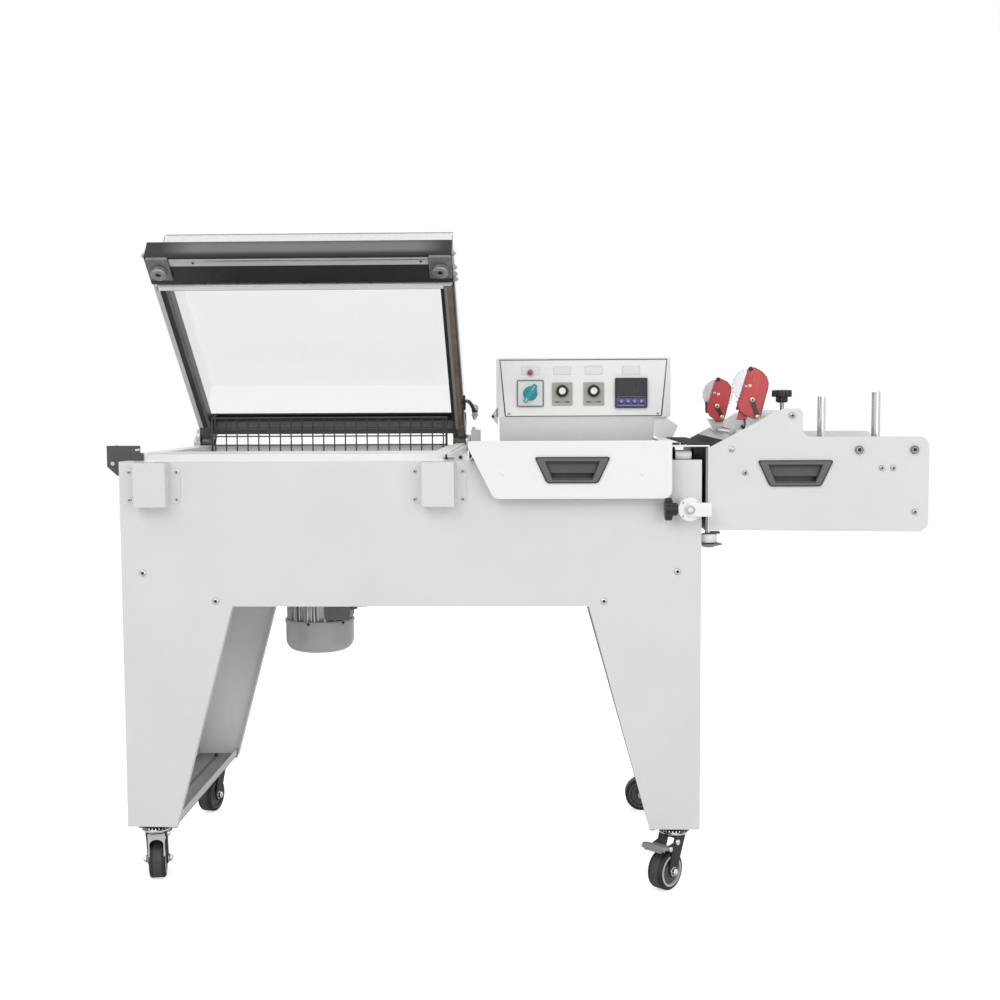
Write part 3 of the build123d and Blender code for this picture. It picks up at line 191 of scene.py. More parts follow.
def addFloor():
    half = studio["floorSize"] / 2
    mesh = bpy.data.meshes.new("studioFloor")
    mesh.from_pydata([(-half, -half, 0), (half, -half, 0), (half, half, 0), (-half, half, 0)], [],
                     [(0, 1, 2, 3)])
    floor = bpy.data.objects.new("studioFloor", mesh)
    bpy.context.collection.objects.link(floor)
    paper = bpy.data.materials.new("studioPaper")
    paper.use_nodes = True
    nodes, links = paper.node_tree.nodes, paper.node_tree.links
    shader = nodes["Principled BSDF"]
    shader.inputs["Base Color"].default_value = (studio["floorGrey"],) * 3 + (1,)
    shader.inputs["Roughness"].default_value = 0.9
    shader.inputs["Emission Color"].default_value = (1, 1, 1, 1)
    path = nodes.new("ShaderNodeLightPath")
    lift = nodes.new("ShaderNodeMath")
    lift.operation = "MULTIPLY"
    lift.inputs[1].default_value = studio["floorLift"]
    links.new(path.outputs["Is Camera Ray"], lift.inputs[0])
    links.new(lift.outputs[0], shader.inputs["Emission Strength"])
    mesh.materials.append(paper)


setStudio()
addFloor()
print("studio set")


# finishes

def startFinish(name):
    material = bpy.data.materials.new(name)
    material.use_nodes = True
    tree = material.node_tree
    where = tree.nodes.new("ShaderNodeTexCoord")
    return material, tree, tree.nodes["Principled BSDF"], where.outputs["Object"]


def grain(tree, where, scale, detail=3.0, stretch=(1, 1, 1)):
    mapping = tree.nodes.new("ShaderNodeMapping")
    mapping.inputs["Scale"].default_value = stretch
    noise = tree.nodes.new("ShaderNodeTexNoise")
    noise.inputs["Scale"].default_value = scale
    noise.inputs["Detail"].default_value = detail
    tree.links.new(where, mapping.inputs["Vector"])
    tree.links.new(mapping.outputs["Vector"], noise.inputs["Vector"])
    return noise.outputs["Fac"]


def ranged(tree, value, fromLow, fromHigh, toLow, toHigh):
    node = tree.nodes.new("ShaderNodeMapRange")
    for key, number in (("From Min", fromLow), ("From Max", fromHigh), ("To Min", toLow), ("To Max", toHigh)):
        node.inputs[key].default_value = number
    tree.links.new(value, node.inputs["Value"])
    return node.outputs["Result"]


def twoTone(tree, factor, first, second):
    mix = tree.nodes.new("ShaderNodeMix")
    mix.data_type = "RGBA"
    tree.links.new(factor, mix.inputs[0])
    for index, colour in ((6, first), (7, second)):
        if isinstance(colour, (tuple, list)):
            mix.inputs[index].default_value = tuple(colour) + (1,)
        else:
            tree.links.new(colour, mix.inputs[index])
    return mix.outputs[2]


def raised(tree, shader, height, strength, distance):
    bump = tree.nodes.new("ShaderNodeBump")
    bump.inputs["Strength"].default_value = strength
    bump.inputs["Distance"].default_value = distance
    tree.links.new(height, bump.inputs["Height"])
    tree.links.new(bump.outputs["Normal"], shader.inputs["Normal"])


def darker(colour, share):
    return tuple(c * share for c in colour)


def surface(name, look):
    # one recipe for paint, metal, plastic and rubber; look says which
    material, tree, shader, where = startFinish(name)
    base = look["colour"]
    cloudy = grain(tree, where, look.get("cloudScale", 5.0), 4.0)
    tone = twoTone(tree, ranged(tree, cloudy, 0.35, 0.65, 0, 1), base,
                   darker(base, look.get("cloudDark", 0.95)))
    if "scuff" in look:
        scuffs = grain(tree, where, 38.0, 6.0, (1, 1, 0.25))
        tone = twoTone(tree, ranged(tree, scuffs, 0.66, 0.74, 0, look.get("scuffShare", 0.35)), tone,
                       look["scuff"])
    parts = tree.nodes.new("ShaderNodeSeparateXYZ")
    tree.links.new(where, parts.inputs[0])
    for axis, level, above, colour in look.get("bands", ()):
        # another colour past a level along one axis, in metres
        past = tree.nodes.new("ShaderNodeMath")
        past.operation = "GREATER_THAN" if above else "LESS_THAN"
        past.inputs[1].default_value = level
        tree.links.new(parts.outputs[axis], past.inputs[0])
        tone = twoTone(tree, past.outputs[0], tone, colour)
    for axis, near, far, colour in look.get("fades", ()):
        # a soft change of colour between two places along one axis
        tone = twoTone(tree, ranged(tree, parts.outputs[axis], near, far, 0, 1), tone, colour)
    tree.links.new(tone, shader.inputs["Base Color"])
    low, high = look["rough"]
    sheen = grain(tree, where, look.get("sheenScale", 14.0), 5.0, look.get("stretch", (1, 1, 1)))
    tree.links.new(ranged(tree, sheen, 0.3, 0.7, low, high), shader.inputs["Roughness"])
    fine = grain(tree, where, look.get("bumpScale", 900.0), 3.0, look.get("stretch", (1, 1, 1)))
    raised(tree, shader, fine, look.get("bump", 0.15), look.get("bumpDepth", 0.0003))
    shader.inputs["Metallic"].default_value = look.get("metal", 0.0)
    shader.inputs["Specular IOR Level"].default_value = look.get("specular", 0.5)
    if "coat" in look:
        shader.inputs["Coat Weight"].default_value = look["coat"]
        shader.inputs["Coat Roughness"].default_value = 0.12
    return material


brushedAlongX = {"stretch": (0.02, 1, 1), "sheenScale": 420.0, "bumpScale": 1500.0, "bump": 0.2}
brushedAlongY = {"stretch": (1, 0.02, 1), "sheenScale": 420.0, "bumpScale": 1500.0, "bump": 0.2}
brushedAlongZ = {"stretch": (1, 1, 0.02), "sheenScale": 420.0, "bumpScale": 1500.0, "bump": 0.2}

finishes = {
    "whiteCoat": {"colour": (0.72, 0.72, 0.715), "cloudDark": 0.965, "rough": (0.36, 0.48),
                  "bumpScale": 620.0, "bump": 0.22, "bumpDepth": 0.0004, "scuff": (0.62, 0.62, 0.61),
                  "scuffShare": 0.16},
    "whitePlate": {"colour": (0.86, 0.86, 0.855), "cloudDark": 0.97, "rough": (0.34, 0.46),
                   "bumpScale": 620.0, "bump": 0.2, "bumpDepth": 0.0004, "scuff": (0.7, 0.7, 0.69),
                   "scuffShare": 0.12},
    "panelCoat": {"colour": (0.93, 0.93, 0.92), "cloudDark": 0.985, "rough": (0.4, 0.5), "bumpScale": 700.0,
                  "bump": 0.15},
    "blackBar": {"colour": (0.035, 0.036, 0.038), "cloudDark": 0.7, "rough": (0.3, 0.42), "metal": 0.35,
                 "bands": (("Z", 0.9, False, (0.085, 0.086, 0.088)),), "scuff": (0.2, 0.2, 0.2),
                 "scuffShare": 0.2, **brushedAlongX},
    "brightSteel": {"colour": (0.66, 0.66, 0.67), "metal": 1.0, "rough": (0.16, 0.3), "cloudDark": 0.85,
                    **brushedAlongX},
    "rollerSteel": {"colour": (0.68, 0.68, 0.69), "metal": 1.0, "rough": (0.14, 0.26), "cloudDark": 0.88,
                    **brushedAlongY},
    "postSteel": {"colour": (0.66, 0.66, 0.66), "metal": 1.0, "rough": (0.1, 0.24), "cloudDark": 0.8,
                  **brushedAlongZ},
    "zincPlate": {"colour": (0.52, 0.53, 0.55), "metal": 1.0, "rough": (0.24, 0.42), "cloudDark": 0.82,
                  "cloudScale": 60.0, "bumpScale": 300.0, "bump": 0.12},
    "chromed": {"colour": (0.82, 0.82, 0.83), "metal": 1.0, "rough": (0.05, 0.12), "cloudDark": 0.9},
    "releaseTape": {"colour": (0.23, 0.16, 0.115), "cloudDark": 0.6, "cloudScale": 24.0, "rough": (0.28, 0.5),
                    "bumpScale": 1300.0, "bump": 0.5, "scuff": (0.5, 0.45, 0.42), "scuffShare": 0.5},
    "siliconePad": {"colour": (0.8, 0.79, 0.77), "cloudDark": 0.85, "rough": (0.55, 0.7), "bumpScale": 1200.0,
                    "bump": 0.35},
    # black plastic, also used for sheets of painted shade in hollows, holes and slots
    "blackMouldingAndPaintedShade": {"colour": (0.013, 0.013, 0.014), "cloudDark": 0.8, "rough": (0.32, 0.46),
                      "bumpScale": 1100.0, "bump": 0.3, "specular": 0.5},
    "greyMoulding": {"colour": (0.085, 0.085, 0.088), "cloudDark": 0.85, "rough": (0.42, 0.56),
                     "bumpScale": 1000.0, "bump": 0.4},
    "paleMoulding": {"colour": (0.56, 0.57, 0.56), "cloudDark": 0.9, "rough": (0.4, 0.52),
                     "bumpScale": 1000.0, "bump": 0.25},
    "whiteMoulding": {"colour": (0.88, 0.88, 0.88), "cloudDark": 0.96, "rough": (0.26, 0.36),
                      "bumpScale": 900.0, "bump": 0.1},
    "pedalPlate": {"colour": (0.34, 0.34, 0.34), "cloudDark": 0.85, "rough": (0.36, 0.5), "metal": 0.4,
                   "bumpScale": 420.0, "bump": 0.3, "scuff": (0.5, 0.5, 0.5), "scuffShare": 0.4},
    "motorEnamel": {"colour": (0.5, 0.5, 0.5), "cloudDark": 0.86, "rough": (0.3, 0.42), "bumpScale": 420.0,
                    "bump": 0.3, "bumpDepth": 0.0005, "coat": 0.3},
    "castAlloy": {"colour": (0.6, 0.6, 0.6), "metal": 1.0, "rough": (0.34, 0.5), "cloudDark": 0.75,
                  "cloudScale": 40.0, "bumpScale": 380.0, "bump": 0.5, "bumpDepth": 0.0005},
    "galvanised": {"colour": (0.55, 0.56, 0.57), "metal": 0.9, "rough": (0.3, 0.52), "cloudDark": 0.72,
                   "cloudScale": 55.0, "bumpScale": 260.0, "bump": 0.12},
    "paleTub": {"colour": (0.92, 0.92, 0.91), "metal": 0.1, "rough": (0.36, 0.5), "cloudDark": 0.93,
                "cloudScale": 55.0, "bumpScale": 260.0, "bump": 0.1},
    # painted shade: the channels' web is coloured dark for the shade that the body above casts on it; above
    # the band the lips are a lighter grey
    "channelPaintedShade": {"colour": (0.26, 0.26, 0.25), "cloudDark": 0.85, "rough": (0.42, 0.56),
                    "bumpScale": 620.0, "bump": 0.2, "bands": (("Z", 0.1209, True, (0.6, 0.6, 0.59)),)},
    "bracketGreen": {"colour": (0.075, 0.082, 0.075), "cloudDark": 0.8, "rough": (0.4, 0.55),
                     "bumpScale": 500.0, "bump": 0.2, "scuff": (0.2, 0.21, 0.2), "scuffShare": 0.3},
    # painted shade: the hanger plate is a pale painted sheet, coloured dark grey for the deep shade inside
    # its L
    "hangerPaintedShade": {"colour": (0.13, 0.13, 0.132), "cloudDark": 0.75, "rough": (0.36, 0.5), "metal": 0.2,
                   "scuff": (0.3, 0.3, 0.3), "scuffShare": 0.3, "bumpScale": 500.0, "bump": 0.2},
    "darkSteel": {"colour": (0.026, 0.027, 0.027), "cloudDark": 0.75, "rough": (0.34, 0.5), "metal": 0.3,
                  "scuff": (0.24, 0.24, 0.23), "scuffShare": 0.3, "bumpScale": 500.0, "bump": 0.2},
    "coatedWire": {"colour": (0.055, 0.055, 0.056), "cloudDark": 0.7, "rough": (0.35, 0.5), "metal": 0.2,
                   "bumpScale": 900.0, "bump": 0.2},
    "redGuard": {"colour": (0.56, 0.045, 0.05), "cloudDark": 0.9, "rough": (0.24, 0.36), "bumpScale": 500.0,
                 "bump": 0.18, "coat": 0.35, "scuff": (0.75, 0.3, 0.28), "scuffShare": 0.3},
    "tealKnob": {"colour": (0.01, 0.34, 0.40), "cloudDark": 0.85, "rough": (0.2, 0.32), "bumpScale": 900.0,
                 "bump": 0.1, "coat": 0.4},
    "timerFace": {"colour": (0.47, 0.46, 0.41), "cloudDark": 0.93, "rough": (0.4, 0.5), "bumpScale": 900.0,
                  "bump": 0.15},
    "controllerCase": {"colour": (0.016, 0.016, 0.022), "cloudDark": 0.8, "rough": (0.3, 0.42),
                       "bumpScale": 1000.0, "bump": 0.25},
    "tyreRubber": {"colour": (0.012, 0.012, 0.0125), "cloudDark": 0.7, "rough": (0.5, 0.68),
                   "bumpScale": 700.0, "bump": 0.4, "scuff": (0.16, 0.155, 0.15), "scuffShare": 0.5},
    "heaterSheath": {"colour": (0.3, 0.27, 0.24), "metal": 0.9, "rough": (0.4, 0.6), "cloudDark": 0.6,
                     "cloudScale": 30.0, "bumpScale": 700.0, "bump": 0.2},
    "labelPlate": {"colour": (0.86, 0.87, 0.86), "rough": (0.3, 0.4), "bump": 0.05, "cloudDark": 0.95},
    "printGrey": {"colour": (0.55, 0.55, 0.56), "rough": (0.45, 0.55), "bump": 0.05},
    "midMoulding": {"colour": (0.2, 0.2, 0.205), "rough": (0.4, 0.5), "bump": 0.2},
    "paleTeal": {"colour": (0.3, 0.56, 0.58), "rough": (0.3, 0.4), "bump": 0.1},
    "printDark": {"colour": (0.06, 0.06, 0.06), "rough": (0.45, 0.55), "bump": 0.05},
    "printPale": {"colour": (0.45, 0.45, 0.6), "rough": (0.45, 0.55), "bump": 0.05},
    "lampRed": {"colour": (0.42, 0.012, 0.03), "rough": (0.12, 0.2), "bump": 0.05, "coat": 0.6},
    "satinPlate": {"colour": (0.74, 0.76, 0.76), "metal": 0.6, "rough": (0.28, 0.4), "cloudDark": 0.92,
                   **brushedAlongX},
    "spunAlloy": {"colour": (0.86, 0.86, 0.86), "metal": 1.0, "rough": (0.16, 0.3), "cloudDark": 0.9},
    "darkGlass": {"colour": (0.016, 0.017, 0.022), "rough": (0.1, 0.18), "bump": 0.03, "coat": 0.3},
    "violetFilm": {"colour": (0.085, 0.085, 0.27), "rough": (0.3, 0.4), "bump": 0.08, "cloudDark": 0.85},
    "keyFilm": {"colour": (0.3, 0.32, 0.6), "rough": (0.35, 0.45), "bump": 0.08},
    "unlitFigure": {"colour": (0.06, 0.062, 0.066), "rough": (0.3, 0.4), "bump": 0.03},
    # painted reflection on the bar's front: grey in the middle, darker towards the top, near black at both
    # ends and at the foot
    "paintedBarReflection": {"colour": (0.18, 0.18, 0.182), "cloudDark": 0.92, "rough": (0.3, 0.42), "metal": 0.1,
                 "fades": (("Z", 1.2535, 1.2605, (0.1, 0.1, 0.102)), ("X", alongX(125), alongX(62),
                                                                      (0.018, 0.018, 0.018)),
                                                                      ("X", alongX(570), alongX(622),
                                                                       (0.02, 0.02, 0.02)),
                                                                       ("Z", 1.2415, 1.2330,
                                                                        (0.008, 0.008, 0.008))),
                 **brushedAlongX},
    "stripAlloy": {"colour": (0.56, 0.56, 0.56), "metal": 0.05, "rough": (0.22, 0.34), "cloudDark": 0.9,
                   **brushedAlongX},
    "cupSteel": {"colour": (0.36, 0.36, 0.36), "metal": 0.5, "rough": (0.22, 0.36), "cloudDark": 0.7,
                 "cloudScale": 60.0},
    "paleSteel": {"colour": (0.7, 0.7, 0.7), "metal": 0.4, "rough": (0.2, 0.34), "cloudDark": 0.8,
                  "cloudScale": 60.0},
    "paleFoot": {"colour": (0.86, 0.86, 0.86), "rough": (0.3, 0.42), "cloudDark": 0.93, **brushedAlongX},
    "satinAlloy": {"colour": (0.66, 0.66, 0.66), "metal": 1.0, "rough": (0.24, 0.38), "cloudDark": 0.88,
                   **brushedAlongX},
    # partly painted highlight: a real strip along the jaw, coloured near white with a pink tint for the light
    # on its edge
    "paintedHighlightStrip": {"colour": (0.97, 0.93, 0.92), "metal": 0.0, "rough": (0.26, 0.4), "cloudDark": 0.92,
                  **brushedAlongX},
    "greenStrip": {"colour": (0.32, 0.34, 0.31), "metal": 0.4, "rough": (0.3, 0.46), "cloudDark": 0.85},
    "armGrey": {"colour": (0.2, 0.2, 0.2), "metal": 0.5, "rough": (0.3, 0.44), "cloudDark": 0.6},
    "greyAlloy": {"colour": (0.24, 0.242, 0.245), "metal": 0.55, "rough": (0.34, 0.5), "cloudDark": 0.75,
                  "cloudScale": 60.0, "bumpScale": 600.0, "bump": 0.35},
    "domeSteel": {"colour": (0.68, 0.68, 0.68), "metal": 0.7, "rough": (0.24, 0.36), "cloudDark": 0.85,
                  "cloudScale": 60.0},
    # painted shade: matt black with little gloss, for a sheet put where there is only deep shade
    "paintedShadeBlack": {"colour": (0.011, 0.011, 0.012), "rough": (0.75, 0.9), "specular": 0.12, "cloudDark": 0.8,
                 "bump": 0.3},
    "seamGrey": {"colour": (0.42, 0.42, 0.42), "rough": (0.3, 0.4), "cloudDark": 0.9, "bump": 0.05},
    "paleAlloy": {"colour": (0.6, 0.6, 0.59), "metal": 0.4, "rough": (0.3, 0.44), "cloudDark": 0.86,
                  "bumpScale": 500.0, "bump": 0.2},
    "midGrey": {"colour": (0.26, 0.26, 0.26), "metal": 0.3, "rough": (0.34, 0.5), "cloudDark": 0.8},
    "brightCast": {"colour": (0.72, 0.72, 0.72), "metal": 0.6, "rough": (0.36, 0.5), "cloudDark": 0.82,
                   "bumpScale": 420.0, "bump": 0.4},
    "boxGrey": {"colour": (0.15, 0.15, 0.155), "rough": (0.36, 0.5), "cloudDark": 0.85, "bumpScale": 420.0,
                "bump": 0.3},
    "handleRim": {"colour": (0.118, 0.118, 0.12), "rough": (0.42, 0.56), "bumpScale": 900.0, "bump": 0.5},
    "handlePanel": {"colour": (0.07, 0.07, 0.072), "rough": (0.44, 0.58), "bumpScale": 900.0, "bump": 0.5},
    "guardEdge": {"colour": (0.3, 0.03, 0.035), "rough": (0.3, 0.42), "cloudDark": 0.7, "coat": 0.3},
    "brassed": {"colour": (0.62, 0.58, 0.45), "metal": 0.8, "rough": (0.26, 0.4), "cloudDark": 0.8},
    "treadRubber": {"colour": (0.055, 0.055, 0.056), "rough": (0.5, 0.66), "cloudDark": 0.75,
                    "bumpScale": 500.0, "bump": 0.4},
}
for name, middle, low in (("frontPerforator", 60, 0.906), ("rearPerforator", 330, 0.898)):
    behind, before = alongY(middle - 5.9), alongY(middle - 13.05)
    finishes[name] = dict(finishes["redGuard"], bands=(("Y", behind, True, (0.3, 0.3, 0.31)),
                                                       ("Y", before, False, (0.02, 0.02, 0.02)),
                                                       ("Z", low, False, (0.52, 0.52, 0.53))))
finish = {name: surface(name, look) for name, look in finishes.items()}

clearCover = {"colour": (0.978, 0.978, 0.976), "rough": 0.04, "ior": 1.49, "edge": (0.84, 0.84, 0.835)}


def clearSheet(name, look):
    # thin walls: mostly see-through, with gloss that grows towards grazing angles and faint rub marks
    material, tree, shader, where = startFinish(name)
    output = tree.nodes["Material Output"]
    through = tree.nodes.new("ShaderNodeBsdfTransparent")
    through.inputs["Color"].default_value = look["colour"] + (1,)
    haze = grain(tree, where, 7.0, 5.0, (1, 1, 3))
    tone = twoTone(tree, ranged(tree, haze, 0.35, 0.65, 0, 1), look["edge"], darker(look["edge"], 1.15))
    tree.links.new(tone, shader.inputs["Base Color"])
    scratches = grain(tree, where, 160.0, 4.0, (0.15, 1, 1))
    tree.links.new(ranged(tree, scratches, 0.3, 0.7, look["rough"], look["rough"] + 0.08),
                   shader.inputs["Roughness"])
    raised(tree, shader, scratches, 0.03, 0.0002)
    shader.inputs["IOR"].default_value = look["ior"]
    facing = tree.nodes.new("ShaderNodeLayerWeight")
    facing.inputs["Blend"].default_value = 0.2
    share = ranged(tree, facing.outputs["Facing"], 0, 1, 0.035, 0.55)
    mix = tree.nodes.new("ShaderNodeMixShader")
    tree.links.new(share, mix.inputs["Fac"])
    tree.links.new(through.outputs["BSDF"], mix.inputs[1])
    tree.links.new(shader.outputs["BSDF"], mix.inputs[2])
    tree.links.new(mix.outputs["Shader"], output.inputs["Surface"])
    return material


finish["clearSheet"] = clearSheet("clearSheet", clearCover)
print("finishes made:", len(finish))


# the carried-over nodes: finish, soft edges

nodeLooks = {
    "front_panel": ("whiteCoat", 0), "rear_panel": ("whiteCoat", 0), "side_panels": ("whiteCoat", 0.6),
    "base_channels": ("channelPaintedShade", 0.5), "top_deck": ("whitePlate", 0.6), "seal_pads": ("siliconePad", 0.8),
    "chamber_tub": ("paleTub", 0), "heater_elements": ("heaterSheath", 0), "wire_mesh": ("coatedWire", 0),
    "fan_motor": ("castAlloy", 0.8), "motor_fan_cover": ("motorEnamel", 0), "hood_magnets": ("whiteCoat", 0),
    "body_screws": ("zincPlate", 0), "side_bracket": ("bracketGreen", 0.5),
    "hinge_bearings": ("castAlloy", 0.8), "limit_switch": ("paleMoulding", 0.8),
    "control_box": ("whitePlate", 0.5), "control_panel": ("panelCoat", 0.3),
    "instrument_bezels": ("timerFace", 0.5), "temperature_controller": ("controllerCase", 0.6),
    "guide_rails": ("zincPlate", 0.5), "lock_collar": ("whiteMoulding", 0),
    "caster_plates": ("darkSteel", 0.4), "fan_impeller": ("galvanised", 0), "hood_frame": ("blackBar", 0.8),
    "hood_fittings": ("zincPlate", 0), "hood_cover": ("clearSheet", 0), "seal_jaws": ("releaseTape", 0.5),
    "hinge_shaft": ("darkSteel", 0.3), "main_switch_knob": ("tealKnob", 0.8),
    "timer_knob_left": ("blackMouldingAndPaintedShade", 0.6), "timer_knob_right": ("blackMouldingAndPaintedShade", 0.6),
    "loading_table": ("whitePlate", 0.5), "table_handle": ("greyMoulding", 0.6),
    "cradle_plates": ("whiteCoat", 0.6), "cradle_tie_bars": ("postSteel", 0),
    "cradle_handle": ("greyMoulding", 0.6), "hanger_plate": ("hangerPaintedShade", 0.4),
    "lock_rod": ("whiteMoulding", 0.3), "hanger_roller_upper": ("whiteMoulding", 0.5),
    "hanger_roller_lower": ("whiteMoulding", 0.5), "film_roller_inner": ("rollerSteel", 0.4),
    "film_roller_outer": ("rollerSteel", 0.4), "guide_roller": ("rollerSteel", 0.4),
    "peak_knob": ("blackMouldingAndPaintedShade", 0.8), "lock_knob": ("blackMouldingAndPaintedShade", 0.8),
    "perforator_arm_front": ("frontPerforator", 0.3), "perforator_arm_rear": ("rearPerforator", 0.3),
    "perforator_wheel_front": ("chromed", 0), "perforator_wheel_rear": ("chromed", 0),
}
for place in ("front_left", "front_right", "rear_left", "rear_right"):
    nodeLooks["caster_fork_" + place] = ("darkSteel", 0.4)
    nodeLooks["caster_wheel_" + place] = ("tyreRubber", 0)
for place in ("front_left", "front_right"):
    nodeLooks["brake_pedal_" + place] = ("pedalPlate", 0.5)


def dressNode(name, finishName, softWidth):
    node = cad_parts[name]
    node.data.materials.clear()
    node.data.materials.append(finish[finishName])
    if softWidth:
        weld = node.modifiers.new("weld", "WELD")
        weld.merge_threshold = 0.00002
        soft = node.modifiers.new("softEdges", "BEVEL")
        soft.width = softWidth / 1000
        soft.segments = 2
        soft.limit_method = "ANGLE"
        soft.angle_limit = radians(38)
        soft.harden_normals = True


for name, (finishName, softWidth) in nodeLooks.items():
    dressNode(name, finishName, softWidth)
print("nodes dressed:", len(nodeLooks), "left:", [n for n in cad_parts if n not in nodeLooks])


# making pieces; all sizes in mm

def newShapes(count):
    return [bmesh.new() for _ in range(count)]


def rounding(points, radius, steps=4):
    # the outline with every corner rounded
    out = []
    count = len(points)
    for index in range(count):
        before, corner, after = (Vector(points[(index + k) % count]) for k in (-1, 0, 1))
        inward, outward = before - corner, after - corner
        cut = min(radius, inward.length * 0.49, outward.length * 0.49)
        start, end = corner + inward.normalized() * cut, corner + outward.normalized() * cut
        for step in range(steps + 1):
            t = step / steps
            out.append(((1 - t) ** 2 * start + 2 * t * (1 - t) * corner + t * t * end).to_tuple())
    return out


def rectangle(width, height, radius=0.0, centre=(0, 0)):
    x, y = centre
    points = [(x - width / 2, y - height / 2), (x + width / 2, y - height / 2),
              (x + width / 2, y + height / 2), (x - width / 2, y + height / 2)]
    return rounding(points, radius) if radius else points


def circle(radius, steps=24):
    return [(radius * cos(2 * pi * k / steps), radius * sin(2 * pi * k / steps)) for k in range(steps)]


def addOutline(shape, at, points, level):
    return [shape.verts.new(at @ Vector((x / 1000, y / 1000, level / 1000))) for x, y in points]


def addSlab(shape, at, points, low, high):
    bottom, top = addOutline(shape, at, points, low), addOutline(shape, at, points, high)
    shape.faces.new(list(reversed(bottom)))
    shape.faces.new(top)
    for index in range(len(points)):
        following = (index + 1) % len(points)
        shape.faces.new((bottom[index], bottom[following], top[following], top[index]))


def addRing(shape, at, outer, inner, low, high):
    # a flat frame between two outlines of the same number of points
    corners = ((outer, low), (outer, high), (inner, high), (inner, low))
    levels = [addOutline(shape, at, points, level) for points, level in corners]
    for first, second in zip(levels, levels[1:] + levels[:1]):
        for index in range(len(outer)):
            following = (index + 1) % len(outer)
            shape.faces.new((first[index], first[following], second[following], second[index]))


def addTurned(shape, at, profile, steps=40):
    # a lathe shape around local z from (radius, height) pairs
    rings = []
    for radius, height in profile:
        if radius < 0.001:
            rings.append([shape.verts.new(at @ Vector((0, 0, height / 1000)))])
        else:
            rings.append(addOutline(shape, at, circle(radius, steps), height))
    for low, high in zip(rings, rings[1:]):
        for k in range(steps):
            j = (k + 1) % steps
            if len(low) == 1 and len(high) > 1:
                shape.faces.new((low[0], high[k], high[j]))
            elif len(high) == 1 and len(low) > 1:
                shape.faces.new((low[k], low[j], high[0]))
            elif len(low) > 1:
                shape.faces.new((low[k], low[j], high[j], high[k]))


def addTube(shape, points, radius, steps=10):
    # a round bar along points in the machine's frame
    path = [Vector(p) for p in points]
    side = None
    rings = []
    for index, point in enumerate(path):
        ahead = (path[min(index + 1, len(path) - 1)] - path[max(index - 1, 0)]).normalized()
        if side is None:
            side = ahead.orthogonal().normalized()
        side = (side - ahead * side.dot(ahead)).normalized()
        other = ahead.cross(side)
        outline = circle(radius, steps)
        rings.append([shape.verts.new(point + (side * x + other * y) / 1000) for x, y in outline])
    for low, high in zip(rings, rings[1:]):
        for k in range(steps):
            j = (k + 1) % steps
            shape.faces.new((low[k], low[j], high[j], high[k]))
    shape.faces.new(list(reversed(rings[0])))
    shape.faces.new(rings[-1])


def addPiece(shape, name, finishName, body, soft=0.0):
    bmesh.ops.recalc_face_normals(shape, faces=shape.faces)
    mesh = bpy.data.meshes.new(name)
    shape.to_mesh(mesh)
    shape.free()
    mesh.polygons.foreach_set("use_smooth", [True] * len(mesh.polygons))
    mesh.set_sharp_from_angle(angle=radians(32))
    mesh.materials.append(finish[finishName])
    piece = bpy.data.objects.new(name, mesh)
    bpy.context.collection.objects.link(piece)
    if soft:
        bevel = piece.modifiers.new("softEdges", "BEVEL")
        bevel.width = soft / 1000
        bevel.segments = 2
        bevel.limit_method = "ANGLE"
        bevel.angle_limit = radians(35)
        bevel.harden_normals = True
    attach(piece, body)
    return piece


# screws

screwHead = {"profile": ((3.9, 0), (4.1, 0.5), (3.9, 1.4), (3.0, 2.2), (1.6, 2.6)), "recess": 0.45}


def addScrew(shape, at, scale=1.0):
    # a domed head with a round recess
    profile = [(radius * scale, height * scale) for radius, height in screwHead["profile"]]
    rim, top = profile[-1]
    deep = top * screwHead["recess"]
    addTurned(shape, at, profile + [(rim * 0.98, deep), (0, deep)], 24)


# control panel

panelBits = {
    "face": 476, "labelSize": (41, 20), "labelZ": 1011, "labelU": (784.5, 855.7, 926, 1009.5),
    "lamp": (784.5, 1007), "switch": (784.5, 960.5), "timers": ((855.7, 965.5), (926, 965.5)), "gripLean": 58,
    "timerDrop": 6.3, "controller": (1009.3, 960.7),
    "gap": ((728, 908.5), (1077.5, 908.5), (1089.5, 1036), (716, 1036)), "gapWide": 1.8,
}


def dressLabels():
    # bare plates above the instruments, each with a thin printed border
    plates, borders = newShapes(2)
    width, height = panelBits["labelSize"]
    for u in panelBits["labelU"]:
        at = facingFront(u, panelBits["face"], panelBits["labelZ"])
        addSlab(plates, at, rectangle(width, height, 2), 0.05, 0.5)
        outer, inner = rectangle(width - 2, height - 2, 1.5), rectangle(width - 3.4, height - 3.4, 1.2)
        addRing(borders, at, outer, inner, 0.5, 0.62)
    addPiece(plates, "labelPlates", "labelPlate", "chassis", 0.15)
    addPiece(borders, "labelBorders", "printGrey", "chassis")


def dressLamp():
    u, z = panelBits["lamp"]
    at = facingFront(u, panelBits["face"], z)
    lens = bmesh.new()
    addTurned(lens, at, ((5.4, 2.8), (5.4, 7.0), (4.9, 8.6), (3.4, 9.8), (1.6, 10.3), (0, 10.4)), 32)
    addPiece(lens, "lampLens", "lampRed", "chassis")


